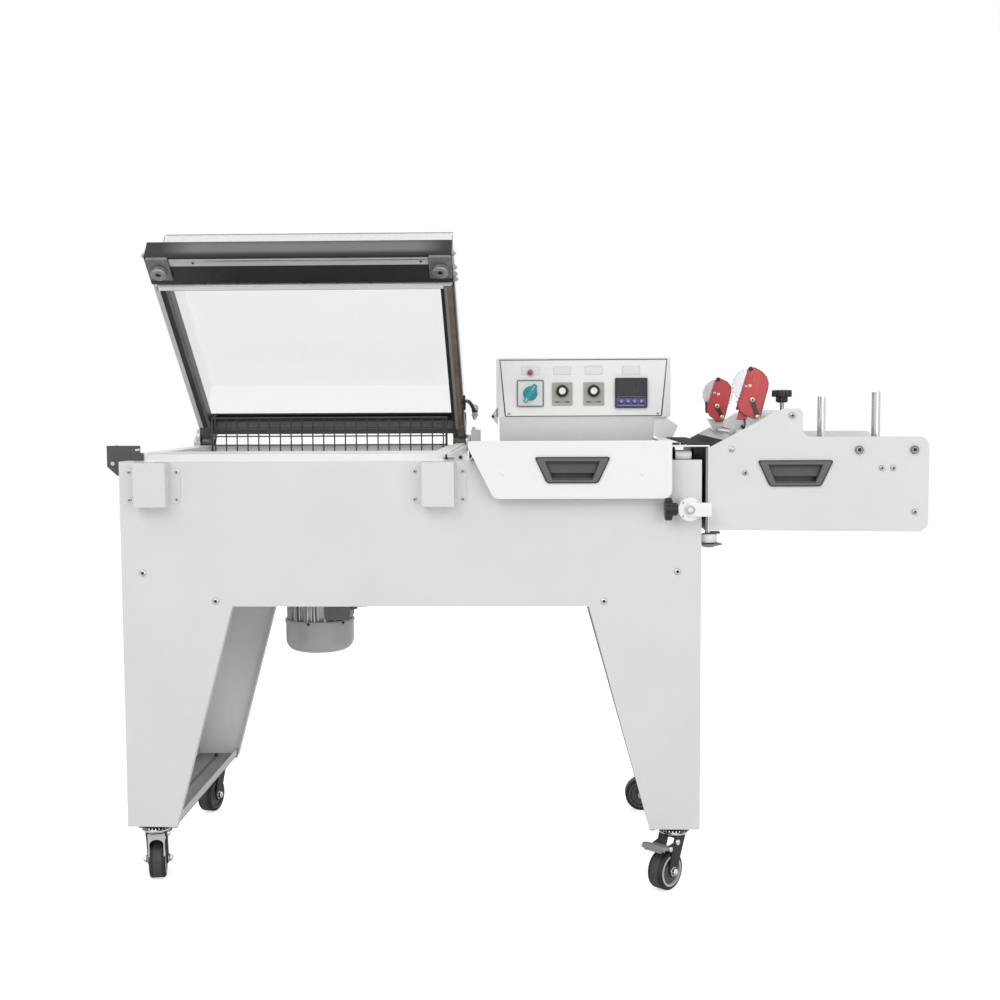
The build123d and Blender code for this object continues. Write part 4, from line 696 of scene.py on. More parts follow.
def dressSwitch():
    u, z = panelBits["switch"]
    at = facingFront(u, panelBits["face"], z)
    rim, plate, knob, mark = newShapes(4)
    addRing(rim, at, rectangle(60, 60, 4), rectangle(55, 55, 3), 0.2, 4.0)
    addPiece(rim, "switchRim", "midMoulding", "chassis", 0.4)
    addSlab(plate, at, rectangle(54.4, 54.4, 3), 2.9, 3.25)
    addPiece(plate, "switchPlate", "satinPlate", "chassis", 0.1)
    # a round skirt with a long grip bar that leans to the right, a pale pointer on its upper end
    addTurned(knob, at, ((15.6, 3.4), (16.2, 4.2), (16.0, 8.4), (14.6, 9.8), (4, 10.2), (0, 10.2)), 56)
    lean = turned(at, radians(panelBits["gripLean"]))
    grip = [(-23, -4.6), (12, -7.4), (23.5, -4.4), (23.5, 4.4), (12, 7.4), (-23, 4.6)]
    addSlab(knob, lean, rounding(grip, 3, 5), 6, 22.5)
    piece = addPiece(knob, "switchKnob", "tealKnob", "main_switch", 1.2)
    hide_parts("main_switch_knob")
    addSlab(mark, lean, rectangle(14, 2.4, 1, (13, 0)), 22.5, 22.75)
    addSlab(mark, lean, rectangle(9, 5, 1.5, (-17, 0)), 22.5, 22.7)
    addPiece(mark, "switchPointer", "paleTeal", "main_switch")


def dressTimers():
    # dial ticks round each knob, a bright cap and a ribbed skirt on it
    for side, (u, z) in zip(("left", "right"), panelBits["timers"]):
        at = facingFront(u, panelBits["face"], z)
        ticks, skirt, cap, foot, screwHeads, rings = newShapes(6)
        for index in range(21):
            long = 2.6 if index % 2 == 0 else 1.5
            tick = moved(turned(at, radians(135 - 13.5 * index)), 0, 18.8)
            addSlab(ticks, tick, rectangle(0.45, long), 3.02, 3.12)
        addRing(ticks, at, rectangle(34, 3.4, 0.8, (0, -24.5)), rectangle(33, 2.4, 0.6, (0, -24.5)), 3.02,
                3.14)
        for x in (-11, 11):
            addSlab(ticks, at, rectangle(9, 1.6, 0, (x, -24.5)), 3.02, 3.12)
        addTurned(rings, at, ((11.8, 8.8), (12.8, 9.2), (13.6, 8.8), (14.2, 3.0)), 60)
        addPiece(rings, f"timerRing_{side}", "greyMoulding", "chassis")
        addPiece(ticks, f"timerTicks_{side}", "printDark", "chassis")
        profile = ((12.2, 9.4), (12.5, 9.8), (12.3, 11.6), (11.6, 12.2), (10.2, 12.4))
        addTurned(foot, at, profile, 60)
        addPiece(foot, f"timerSkirt_{side}", "blackMouldingAndPaintedShade", "timer_" + side)
        for rib in around(at, 30, 10.1):
            addSlab(skirt, rib, rectangle(0.9, 1.1), 12.2, 19.0)
        addPiece(skirt, f"timerRibs_{side}", "blackMouldingAndPaintedShade", "timer_" + side)
        addTurned(cap, at, ((7.6, 19.2), (7.6, 20.0), (7.0, 20.5), (2.0, 20.3), (0, 20.2)), 40)
        addPiece(cap, f"timerCap_{side}", "spunAlloy", "timer_" + side)
        for x in (-20.5, 20.5):
            for y in (-22.5, 22.5):
                addScrew(screwHeads, moved(at, x, y - panelBits["timerDrop"], 3), 0.36)
        addPiece(screwHeads, f"timerScrews_{side}", "zincPlate", "chassis")


# the seven bars of an unlit figure: how far aside and up, as shares of its size
figureBars = ((0, 1), (-0.4, 0.5), (0.4, 0.5), (0, 0), (-0.4, -0.5), (0.4, -0.5), (0, -1))


def dressController():
    # dark window with unlit figures, a violet strip and four small keys
    u, z = panelBits["controller"]
    at = facingFront(u, panelBits["face"], z)
    window, strip, figures, keys, bars = newShapes(5)
    addSlab(window, at, rectangle(62, 37, 1.5, (0, 11)), 5.2, 6.1)
    addPiece(window, "controllerWindow", "darkGlass", "chassis", 0.3)
    addSlab(strip, at, rectangle(66, 19, 1.5, (0, -21)), 6.0, 6.35)
    addPiece(strip, "controllerStrip", "violetFilm", "chassis", 0.1)
    for row, y, size in ((0, 19, 5.2), (1, 5.5, 3.8)):
        for place in range(4):
            x = -20 + place * 8.5 + row * 10
            for aside, rise in figureBars:
                bar = (0.7, size * 0.72) if aside else (size * 0.62, 0.7)
                addSlab(figures, at, rectangle(*bar, 0, (x + aside * size, y + rise * size)), 6.1, 6.16)
    addPiece(figures, "controllerFigures", "unlitFigure", "chassis")
    for index in range(4):
        key = moved(at, -22 + index * 15, -18.5)
        addTurned(keys, key, ((3.6, 6.3), (3.6, 6.8), (3.0, 7.2), (0, 7.3)), 28)
    addPiece(keys, "controllerKeys", "keyFilm", "chassis")
    addSlab(bars, at, rectangle(56, 1.0, 0.4, (0, -27.6)), 6.35, 6.45)
    addSlab(bars, at, rectangle(60, 0.5, 0, (0, -8.6)), 6.1, 6.2)
    addPiece(bars, "controllerLines", "printPale", "chassis")


def dressPanelGap():
    # the dark shadow gap that runs round the instrument panel
    gap = bmesh.new()
    outer = panelBits["gap"]
    wide = panelBits["gapWide"]
    midX, midY = sum(x for x, y in outer) / 4, sum(y for x, y in outer) / 4
    inner = [(x + (wide if x < midX else -wide), y + (wide if y < midY else -wide)) for x, y in outer]
    at = facingFront(0, panelBits["face"], 0)
    addRing(gap, at, outer, inner, 0.05, 0.35)
    addPiece(gap, "panelGap", "printDark", "chassis")


dressPanelGap()
dressLabels()
dressLamp()
dressSwitch()
dressTimers()
dressController()
print("control panel dressed")


# hood: the bar's strip and bolts, the keepers, the striker

hoodBits = {
    "left": 31, "right": 636, "barOuter": 576, "stripFrom": 80, "stripTo": 589.6, "stripNear": 553,
    "stripWide": 18, "stripThick": 2.4, "stripScrews": (126.7, 575.4), "lipWide": 3.6, "barHigh": 43,
    "keeperU": (57, 612.6), "keeperReach": 544.6, "keeperPlate": 44, "keeperLong": 56, "keeperThick": 7,
    "keeperScrews": ((-17, 23), (17, 23), (-17, -22), (17, -22)), "cupRadius": 16, "cupDeep": 19,
    "studs": ((31, -1, 568, 14), (636, 1, 568, 14), (636, 1, 530, 14), (636, 1, 508, 18), (636, 1, 490, 22)),
    "studRadius": 5.2, "studLength": 8,
}


def dressHoodStrip():
    # the bright strip under the bar with its lip and screws, and a thin sheet on the bar's front that carries
    # painted reflection
    strip, lip, heads, sheen = newShapes(4)
    left, right, high = (hoodBits[k] for k in ("left", "right", "barHigh"))
    wide, thick = hoodBits["stripWide"], hoodBits["stripThick"]
    mid = (hoodBits["stripFrom"] + hoodBits["stripTo"]) / 2
    long = hoodBits["stripTo"] - hoodBits["stripFrom"]
    outer = hoodBits["stripNear"] + wide
    addSlab(strip, onHood(mid, outer - wide / 2, 0), rectangle(long, wide - 1), -thick, 0)
    addSlab(lip, onHood(mid, outer - 2.2, 0), rectangle(long, hoodBits["lipWide"]), -thick - 1.6, -thick)
    for u in hoodBits["stripScrews"]:
        down = turned(onHood(u, outer - wide / 2, -thick), pi, "X")
        addTurned(heads, down, ((2.6, 0), (2.6, 0.5), (1.9, 1.1), (0, 1.2)), 20)
    piece = addPiece(strip, "hoodStrip", "stripAlloy", "hood", 0.4)
    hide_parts("hood_fittings")
    # a thin sheet on the bar's front, coloured with painted reflection
    facing = turned(onHood((left + right) / 2, hoodBits["barOuter"], 0), pi / 2, "X")
    addSlab(sheen, facing, rectangle(right - left - 1, high - 1, 0.8, (0, high / 2)), 0.05, 0.4)
    addPiece(sheen, "hoodBarPaintedReflection", "paintedBarReflection", "hood", 0.2)
    addPiece(lip, "hoodStripLip", "brightSteel", "hood", 0.4)
    addPiece(heads, "hoodStripScrews", "darkSteel", "hood")


def dressKeepers():
    # a plate at each end of the bar, with the cup that drops on the magnet
    blocks, cups, holes = newShapes(3)
    deep, radius, thick = hoodBits["cupDeep"], hoodBits["cupRadius"], hoodBits["keeperThick"]
    wide, long = hoodBits["keeperPlate"], hoodBits["keeperLong"]
    for u in hoodBits["keeperU"]:
        at = onHood(u, hoodBits["barOuter"] - long / 2, 0)
        addSlab(blocks, at, rectangle(wide, long, 2.5), -thick, 0)
        for x, y in hoodBits["keeperScrews"]:
            addScrew(blocks, turned(moved(at, x, y, -thick), pi, "X"), 0.5)
        cup = turned(onHood(u, hoodBits["keeperReach"], 0), pi, "X")
        profile = [(radius - 2.5, 5), (radius - 2.5, 7.5), (radius - 0.6, 8), (radius - 0.6, deep - 2.2),
                   (radius - 2, deep - 0.4), (radius - 4.5, deep), (6.4, deep), (5.2, deep - 1),
                   (5.0, deep - 9), (0, deep - 9)]
        addTurned(cups, cup, profile, 48)
        for rib in around(cup, 26, radius - 0.75):
            addSlab(cups, rib, rectangle(1.3, 1.7, 0.3), 8.2, deep - 2.6)
        # painted shade: a black lining in each cup's hole
        hole = ((0, deep - 3), (5.4, deep - 3), (6.6, deep - 0.6), (8.4, deep + 0.1), (8.6, deep - 1))
        addTurned(holes, cup, hole, 28)
    addPiece(holes, "keeperHolesPaintedShade", "blackMouldingAndPaintedShade", "hood")
    addPiece(blocks, "keeperBlocks", "greyAlloy", "hood", 0.4)
    addPiece(cups, "keeperCups", "cupSteel", "hood")


def dressHoodBolts():
    # the bar's end bolts: washer, nut and the rounded end of the thread
    bolts = bmesh.new()
    for u, side, reach, height in hoodBits["studs"]:
        at = turned(onHood(u, reach, height), side * pi / 2, "Y")
        r, long = hoodBits["studRadius"], hoodBits["studLength"]
        addTurned(bolts, at, ((0, 0), (r + 1.3, 0), (r + 1.3, 1.1), (r, 1.2)), 28)
        addTurned(bolts, at, ((r, 1.1), (r, 4.6), (r - 0.7, 5.2), (0, 5.2)), 6)
        addTurned(bolts, at, ((2.9, 5), (2.9, long - 0.6), (2.4, long), (0, long)), 20)
    addPiece(bolts, "hoodBolts", "zincPlate", "hood")


striker = {
    "u": 657, "reach": 38, "shaftRadius": 8, "ribs": 14,
    "arm": ((638.5, 112, 24), (640, 100, 36), (646, 84, 47), (652, 62, 53), (657, 38, 54)), "armRadius": 4.2,
}


def smoothRoute(marks, steps=6):
    # a curve through every mark, on the hood
    marks = [Vector(mark) for mark in marks]
    last = len(marks) - 1
    route = []
    for index in range(last):
        a, b, c, e = (marks[min(max(index + k, 0), last)] for k in (-1, 0, 1, 2))
        for step in range(steps):
            t = step / steps
            bend = (2 * a - 5 * b + 4 * c - e) * t ** 2 + (3 * b - a - 3 * c + e) * t ** 3
            route.append(0.5 * (2 * b + (c - a) * t + bend))
    return [onHood(*point).translation for point in route + marks[-1:]]


def dressStriker():
    # a bent bar from the right arm to the adjusting bolt above the limit switch, with the hinge pins' ends
    arm, bolt, pin = newShapes(3)
    at = onHood(striker["u"], striker["reach"], 0)
    addTube(arm, smoothRoute(striker["arm"]), striker["armRadius"], 12)
    addTurned(arm, moved(at, 0, 0, 50), ((0, 0), (6.2, 0), (6.2, 7), (0, 7)), 32)
    addSlab(arm, turned(onHood(hoodBits["right"], 108, 24), pi / 2, "Y"), rectangle(18, 34, 4), 0, 4)
    addPiece(arm, "strikerArm", "darkSteel", "hood", 0.3)
    addTurned(bolt, at, ((0, 34.5), (3.2, 34.5), (4.0, 35.5), (4.0, 40), (3.0, 40.6), (3.0, 44), (7.4, 44.2),
                         (7.4, 49.6), (6.8, 50)), 6)
    addTurned(bolt, at, ((3.0, 40), (3.0, 66), (2.4, 67), (0, 67)), 20)
    addTurned(bolt, at, ((5.6, 57), (7.2, 58), (7.4, 72), (6.2, 74.6), (3, 75)), 28)
    for rib in around(at, striker["ribs"], 7.2):
        addSlab(bolt, rib, rectangle(1, 1.3), 59, 71.5)
    addPiece(bolt, "strikerBolt", "paleSteel", "hood")
    r = striker["shaftRadius"]
    for u, side in ((hoodBits["left"], -1), (hoodBits["right"], 1)):
        end = turned(onHood(u, 0, 0), side * pi / 2, "Y")
        addTurned(pin, end, ((r, -1), (r, 17), (r - 1, 18.5), (3, 19), (2.4, 17), (0, 17)), 32)
        addTurned(pin, end, ((r, 13.4), (r + 3, 13.4), (r + 3, 15.4), (r, 15.4)), 32)
    piece = addPiece(pin, "hingePinEnds", "zincPlate", "hood")
    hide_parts("hinge_shaft")


# the tape on the jaw is held by a strip in front, coloured near white with a pink tint as painted highlight,
# and the arms are open channels from below
jawBits = {"front": 491, "half": 4, "left": 40, "right": 633, "sideLeft": 618, "rear": 44}
armBits = {"left": 31, "width": 28, "low": 8, "near": 44, "far": 503}


def dressJaw():
    bright, dull, heads, inner, outer, tape = newShapes(6)
    mid = (jawBits["left"] + jawBits["right"]) / 2
    long = jawBits["right"] - jawBits["left"]
    reach = jawBits["front"] + jawBits["half"]
    addSlab(bright, onHood(mid, reach + 1.2, 0), rectangle(long, 2.4), 1, 9)
    addSlab(dull, onHood(mid, reach + 0.8, 0), rectangle(long - 4, 1.6), -2, 1)
    addSlab(dull, onHood(mid - 8, jawBits["front"], 0), rectangle(long - 20, 2 * jawBits["half"]), -2, -1.55)
    for index in range(9):
        u = jawBits["left"] + 30 + index * (long - 60) / 8
        addScrew(heads, turned(onHood(u, reach + 2.4, 5), pi / 2, "X"), 0.45)
    addPiece(bright, "jawStrip", "paintedHighlightStrip", "hood", 0.3)
    addPiece(dull, "jawFoot", "paleFoot", "hood")
    addPiece(heads, "jawScrews", "zincPlate", "hood")
    sideLeft, sideRight = jawBits["sideLeft"], jawBits["right"]
    middle = (jawBits["front"] + jawBits["rear"]) / 2
    run = jawBits["front"] - jawBits["half"] - jawBits["rear"]
    addSlab(inner, onHood(sideLeft - 1, middle, 0), rectangle(2, run), -1, 8)
    addSlab(inner, onHood(sideLeft + 1.9, middle, 0), rectangle(4.2, run), -2, -1.55)
    addSlab(outer, onHood(sideRight + 0.9, middle, 0), rectangle(1.8, run), -1, 8)
    addSlab(tape, onHood((sideLeft + sideRight) / 2 + 1, 33, 0), rectangle(12, 25), -2, 8)
    addPiece(tape, "jawTapeEnd", "releaseTape", "hood", 0.4)
    addPiece(inner, "jawInnerStrip", "greenStrip", "hood", 0.2)
    addPiece(outer, "jawOuterStrip", "darkSteel", "hood", 0.2)


def dressArms():
    # the lips of each arm's underside, and a black sheet as painted shade in its hollow
    pale, hollow, inner = newShapes(3)
    middle = (armBits["near"] + armBits["far"]) / 2
    run = armBits["far"] - armBits["near"] - 2
    low, left = armBits["low"], armBits["left"]
    addSlab(pale, onHood(left + 5.2, middle, low), rectangle(10.4, run), -1.6, 0)
    addSlab(hollow, onHood(left + 16, middle, low), rectangle(11, run), -0.3, 0)
    addSlab(inner, onHood(left + armBits["width"] - 3.4, middle, low), rectangle(6.8, run), -1.6, 0)
    addPiece(pale, "armLip", "satinAlloy", "hood", 0.5)
    addPiece(hollow, "armHollowPaintedShade", "blackMouldingAndPaintedShade", "hood")
    addPiece(inner, "armInnerLip", "armGrey", "hood", 0.5)


dressHoodStrip()
dressKeepers()
dressHoodBolts()
dressStriker()
dressJaw()
dressArms()
print("hood dressed")


# body: bolts, magnet screws, the left bracket's rod, small pads under the legs

bodyBits = {
    "bolts": ((42, 617.8), (182, 563.2), (928.5, 563.2), (1068, 619.8)), "rear": 550,
    "magnetU": (66, 614.6), "magnetReach": 46, "magnetZ": (759.5, 812.5),
    "panelScrews": ((736.75, 915), (1068.75, 915)), "panelFace": 476,
    "pads": (24, 90, 1023, 1089), "padD": (12, 534), "legEnd": 118.5,
    "wing": ((25, 834), (47, 834), (47, 849), (30.4, 849), (30.4, 861), (25, 861)),
    "legEdge": ((895.4, 552.5), (902.5, 552.5), (1020, 120.5), (1015.9, 120.5)),
}


def addBolt(dome, socket, at, scale=1.0):
    # a bright domed head with a dark hexagon sunk in it
    domed = ((6.4, 0), (6.6, 0.5), (6.2, 2.0), (4.9, 3.3), (3.4, 3.9), (3.3, 3.0), (0, 3.0))
    sunk = ((3.0, 2.9), (3.0, 3.4), (2.2, 3.1), (0, 3.05))
    addTurned(dome, at, [(r * scale, h * scale) for r, h in domed], 28)
    addTurned(socket, at, [(r * scale, h * scale) for r, h in sunk], 6)


def dressBody():
    domes, sockets, rod, wing, edge, pads = newShapes(6)
    for u, z in bodyBits["bolts"]:
        addBolt(domes, sockets, facingFront(u, 0, z))
        addBolt(domes, sockets, facingRear(u, bodyBits["rear"], z))
    for middle in bodyBits["magnetU"]:
        for u in (middle - bodyBits["magnetReach"], middle + bodyBits["magnetReach"]):
            for z in bodyBits["magnetZ"]:
                addBolt(domes, sockets, facingFront(u, -2, z), 0.62)
    for u, z in bodyBits["panelScrews"]:
        addBolt(domes, sockets, facingFront(u, bodyBits["panelFace"], z), 0.46)
    piece = addPiece(domes, "bodyBolts", "domeSteel", "chassis")
    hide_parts("body_screws")
    addPiece(sockets, "bodyBoltSockets", "darkSteel", "chassis")
    addTube(rod, [spot(9, 58.6, 851.6), spot(24, 58.6, 852.8)], 2.6, 12)
    addTube(rod, [spot(-30, 57, 826), spot(-30, 60, 826)], 4.2, 16)
    addPiece(rod, "bracketRod", "paleAlloy", "chassis", 0.3)
    addSlab(wing, facingFront(0, 7.4, 0), bodyBits["wing"], 0, 2.4)
    addPiece(wing, "bracketWing", "bracketGreen", "chassis", 0.4)
    addSlab(edge, facingFront(0, 1.9, 0), bodyBits["legEdge"], 0, 1.7)
    addPiece(edge, "legEdgeLine", "midGrey", "chassis")
    for u in bodyBits["pads"]:
        for d in bodyBits["padD"]:
            down = turned(facingUp(u, d, bodyBits["legEnd"]), pi, "X")
            addTurned(pads, down, ((6, -1), (6, 3.4), (5, 4.6), (0, 4.6)), 20)
    addPiece(pads, "legPads", "paleMoulding", "chassis")


# casters

casterBits = {
    "places": {"front_left": (48, 28, 102), "front_right": (1065, 28, -131), "rear_left": (48, 522, -105),
               "rear_right": (1065, 522, 180)},
    "trail": 27, "axle": 37.5, "outer": 20, "ear": (38, 84), "pedalHalf": 27, "wheelHalf": 16, "balls": 22,
}
forkArch = {"outer": 16.6, "inner": 13.4, "low": 54, "spring": 78, "high": 100, "rise": 10, "back": -13.2}


def atCaster(name, x, side, z):
    # local x follows the trail, y the axle
    u, d, turn = casterBits["places"][name]
    a = radians(turn)
    origin = spot(u + x * cos(a) + side * sin(a), d + x * sin(a) - side * cos(a), z)
    return frameOf(origin, (cos(a), sin(a), 0), (-sin(a), cos(a), 0), (0, 0, 1))


def alongAxle(name, x, side, z, way):
    # local z points out along the axle on the given side
    a = radians(casterBits["places"][name][2])
    out = Vector((sin(a), -cos(a), 0)) * way
    ahead = Vector((cos(a), sin(a), 0)) * way
    return frameOf(atCaster(name, x, side, z).translation, ahead, (0, 0, 1), out)


def dressCaster(name):
    body = "caster_" + name
    trail, axle, outer = casterBits["trail"], casterBits["axle"], casterBits["outer"]
    race, nuts, band, rims, hubs, balls = newShapes(6)
    up = atCaster(name, 0, 0, 0)
    addTurned(race, up, ((21, 103), (25, 104), (28, 107), (28.4, 109.4), (26.6, 111), (23.6, 111.3),
                         (23, 110.2)), 48)
    addPiece(race, "raceway_" + name, "chromed", body)
    for index in range(casterBits["balls"]):
        angle = 2 * pi * index / casterBits["balls"]
        ball = moved(up, 23.5 * cos(angle), 23.5 * sin(angle), 112.2)
        addTurned(balls, ball, ((0, -1.6), (1.2, -1.1), (1.7, 0), (1.2, 1.1), (0, 1.6)), 10)
    addPiece(balls, "raceBalls_" + name, "chromed", body)
    for way in (-1, 1):
        at = alongAxle(name, trail, way * outer, axle, way)
        addTurned(nuts, at, ((0, 0), (9, 0), (9, 1.2), (7.4, 1.5)), 28)
        addTurned(nuts, at, ((7.2, 1.2), (7.2, 6.0), (6.2, 6.8), (0, 6.8)), 6)
        addTurned(nuts, at, ((3.6, 6), (3.6, 8.4), (2.8, 9.2), (0, 9.2)), 18)
        wheelSide = alongAxle(name, trail, way * casterBits["wheelHalf"], axle, way)
        addTurned(rims, wheelSide, ((30.5, -1.8), (30.2, 0.25), (28.8, 0.9), (26.6, 0.7), (25.8, -0.4),
                                    (25.8, -4.8)), 64)
        addTurned(hubs, wheelSide, ((25.6, -4.9), (24, -3.4), (14, -3.2), (12, -0.8), (9.4, 0.6), (5.2, 0.8),
                                    (5.0, -1)), 48)
    addPiece(nuts, "axleNuts_" + name, "chromed", body)
    rimFinish = "paleMoulding" if name.startswith("front") else "greyMoulding"
    addPiece(rims, "wheelRims_" + name, rimFinish, "wheel_" + name)
    addPiece(hubs, "wheelHubs_" + name, "greyMoulding", "wheel_" + name)
    tread = alongAxle(name, trail, 0, axle, 1)
    addTurned(band, tread, ((37.3, -8.6), (37.56, -8), (37.62, 0), (37.56, 8), (37.3, 8.6)), 72)
    addPiece(band, "treadBand_" + name, "treadRubber", "wheel_" + name)
    if name == "front_left":
        dressForkArch(name)
    if name.startswith("front"):
        dressPedal(name)


def dressForkArch(name):
    # the bright edge of the fork's opening, on the one caster that shows it
    arch = bmesh.new()
    keys = ("outer", "inner", "low", "spring", "high", "rise")
    outer, inner, low, spring, high, rise = (forkArch[k] for k in keys)
    shape = [(-outer, low), (-inner, low)]
    shape += [(-inner * cos(pi * k / 12), spring + rise * sin(pi * k / 12)) for k in range(13)]
    shape += [(inner, low), (outer, low), (outer, high), (-outer, high)]
    a = radians(casterBits["places"][name][2])
    origin = atCaster(name, forkArch["back"], 0, 0).translation
    at = frameOf(origin, (-sin(a), cos(a), 0), (0, 0, 1), (cos(a), sin(a), 0))
    addSlab(arch, at, shape, -1.6, 0)
    addPiece(arch, "forkArch_" + name, "paleAlloy", "caster_" + name, 0.3)


def dressPedal(name):
    # ribs across the pedal's tread, its turned-down lip and the pivot's bolt heads
    ribs, bolts = newShapes(2)
    x, z = casterBits["ear"]
    half = casterBits["pedalHalf"]
    for index in range(6):
        at = atCaster(name, x + 12 + index * 2.6, 0, z + 7.2 + index * 0.75)
        addSlab(ribs, at, rectangle(1.1, 2 * half - 5), 0, 0.9)
    addSlab(ribs, atCaster(name, x + 28.6, 0, z + 1), rectangle(1.8, 2 * half - 14), -2.5, 3)
    addPiece(ribs, "pedalRibs_" + name, "pedalPlate", "brake_" + name, 0.2)
    for way in (-1, 1):
        at = alongAxle(name, x, way * 20, z, way)
        addTurned(bolts, at, ((0, 0), (5.2, 0), (5.2, 1.0), (4.6, 3.0), (3.0, 4.0), (0, 4.2)), 28)
        cap = alongAxle(name, 14, way * 20, 92, way)
        addTurned(bolts, cap, ((0, 0), (6.2, 0), (6.2, 0.8), (5.4, 2.4), (3.4, 3.3), (0, 3.5)), 28)
    addPiece(bolts, "pedalBolts_" + name, "chromed", "caster_" + name)


# motor under the chamber

motorBits = {"u": 335, "d": 290, "coverZ": 417, "coverHigh": 68, "radius": 72, "box": (25, 73, 8, 66),
             "fins": 30, "finRadius": 64.5, "noFins": (-68, -8), "screwAngles": (-100, -40, 40, 140)}


def dressMotor():
    lip, screws, fins, slots, box, cap = newShapes(6)
    u, d = motorBits["u"], motorBits["d"]
    top = motorBits["coverZ"] + motorBits["coverHigh"]
    r = motorBits["radius"]
    at = facingUp(u, d, top)
    addTurned(lip, at, ((r - 1, -8), (r + 0.6, -7.6), (r + 1.8, -6.4), (r + 1.8, -1.4), (r + 0.8, 0.2),
                        (r - 3, 0.4), (r - 5, -1)), 72)
    addPiece(lip, "motorCoverLip", "motorEnamel", "chassis")
    for angle in motorBits["screwAngles"]:
        a = radians(angle)
        out = frameOf(spot(u + (r + 1.2) * cos(a), d + (r + 1.2) * sin(a), top - 4),
                      (-sin(a), cos(a), 0), (0, 0, 1), (cos(a), sin(a), 0))
        addScrew(screws, out, 0.8)
    addPiece(screws, "motorCoverScrews", "darkSteel", "chassis")
    first, last = motorBits["noFins"]  # the terminal box stands there
    for fin in around(at, motorBits["fins"], motorBits["finRadius"]):
        if not first < degrees(fin.to_euler().z) < last:
            addSlab(fins, fin, rectangle(7.4, 3.2), 2, 62)
    addPiece(fins, "motorFins", "brightCast", "chassis", 0.5)
    # painted shade: black slabs on the cover where its vent slots are
    for slot in around(facingUp(u, d, motorBits["coverZ"]), 10, 30):
        addSlab(slots, slot, rectangle(22, 3.4, 1.6), -0.2, 0.4)
    addPiece(slots, "motorSlotsPaintedShade", "blackMouldingAndPaintedShade", "chassis")
    left, right, low, high = motorBits["box"]
    mid = u + (left + right) / 2
    front = facingFront(mid, d - 70, top + (low + high) / 2)
    addSlab(box, front, rectangle(right - left + 2, high - low + 2, 3), -68, 1)
    addSlab(cap, front, rectangle(right - left + 5, high - low - 12, 3, (0, -8)), 1, 5)
    addTurned(cap, facingRight(u + right + 1, d - 40, top + 30), ((8, 0), (8, 5), (6.4, 6), (6.4, 12),
                                                                  (0, 12)), 24)
    addPiece(box, "motorTerminalBox", "boxGrey", "chassis", 0.8)
    addPiece(cap, "motorTerminalLid", "boxGrey", "chassis", 0.6)


# pocket handles

handleBits = {
    "table": {"u": 868.05, "z": 815, "d": -27, "body": "table"},
    "cradle": {"u": 1288.8, "z": 806.2, "d": 0, "body": "cradle"},
    "topHalf": 70.25, "lowHalf": 47.5, "rise": 24, "lean": -7,
}


def trapezoid(topHalf, lowHalf, high, low, radius=0.0):
    points = [(-lowHalf, low), (lowHalf, low), (topHalf, high), (-topHalf, high)]
    return rounding(points, radius, 5) if radius else points


def dressHandle(label):
    place = handleBits[label]
    at = facingFront(place["u"], place["d"], place["z"])
    edge, lip, panel, well = newShapes(4)
    top, low, rise = handleBits["topHalf"], handleBits["lowHalf"], handleBits["rise"]
    addRing(edge, at, trapezoid(top + 1.2, low + 0.8, rise + 0.8, -rise - 0.8, 6),
            trapezoid(top - 2.2, low - 1.6, rise - 1.4, -rise + 1.4, 5), 0.1, 3.1)
    addRing(lip, at, trapezoid(top - 1.8, low - 1.2, rise - 1.2, -rise + 1.2, 5),
            trapezoid(top - 18.5, low - 10.2, rise - 7.2, -rise + 5.6, 1.5), 2.6, 3.9)
    addRing(well, at, trapezoid(top - 18.2, low - 10, rise - 7, -rise + 5.4, 1.5),
            trapezoid(top - 21, low - 12, rise - 9, -rise + 6.6, 1.2), -3, 3.7)
    leant = turned(at, radians(handleBits["lean"]), "X")
    addSlab(panel, leant, trapezoid(top - 20.6, low - 3, rise - 8.8, -rise + 18.6, 1.2), -3.4, -1.6)
    addPiece(edge, f"{label}HandleEdge", "blackMouldingAndPaintedShade", place["body"], 0.4)
    addPiece(lip, f"{label}HandleRim", "handleRim", place["body"], 0.5)
    addPiece(well, f"{label}HandleWell", "blackMouldingAndPaintedShade", place["body"])
    addPiece(panel, f"{label}HandlePanel", "handlePanel", place["body"], 0.4)


# hanger, rollers and lock

hangerBits = {"left": 1057, "side": 1125, "wall": 3, "topZ": 860, "lowZ": 694, "front": 2, "rear": 462,
              "shadeFrom": 1085, "rollerU": 1080, "rollerZ": 841.4, "lowRollerU": 1129.4, "lowRollerZ": 682,
              "slide": ((1128.5, 854.3), (1154.8, 868.4)), "slideLong": 434, "bolts": (1061, 1068, 1078),
              "rollerD": 26}


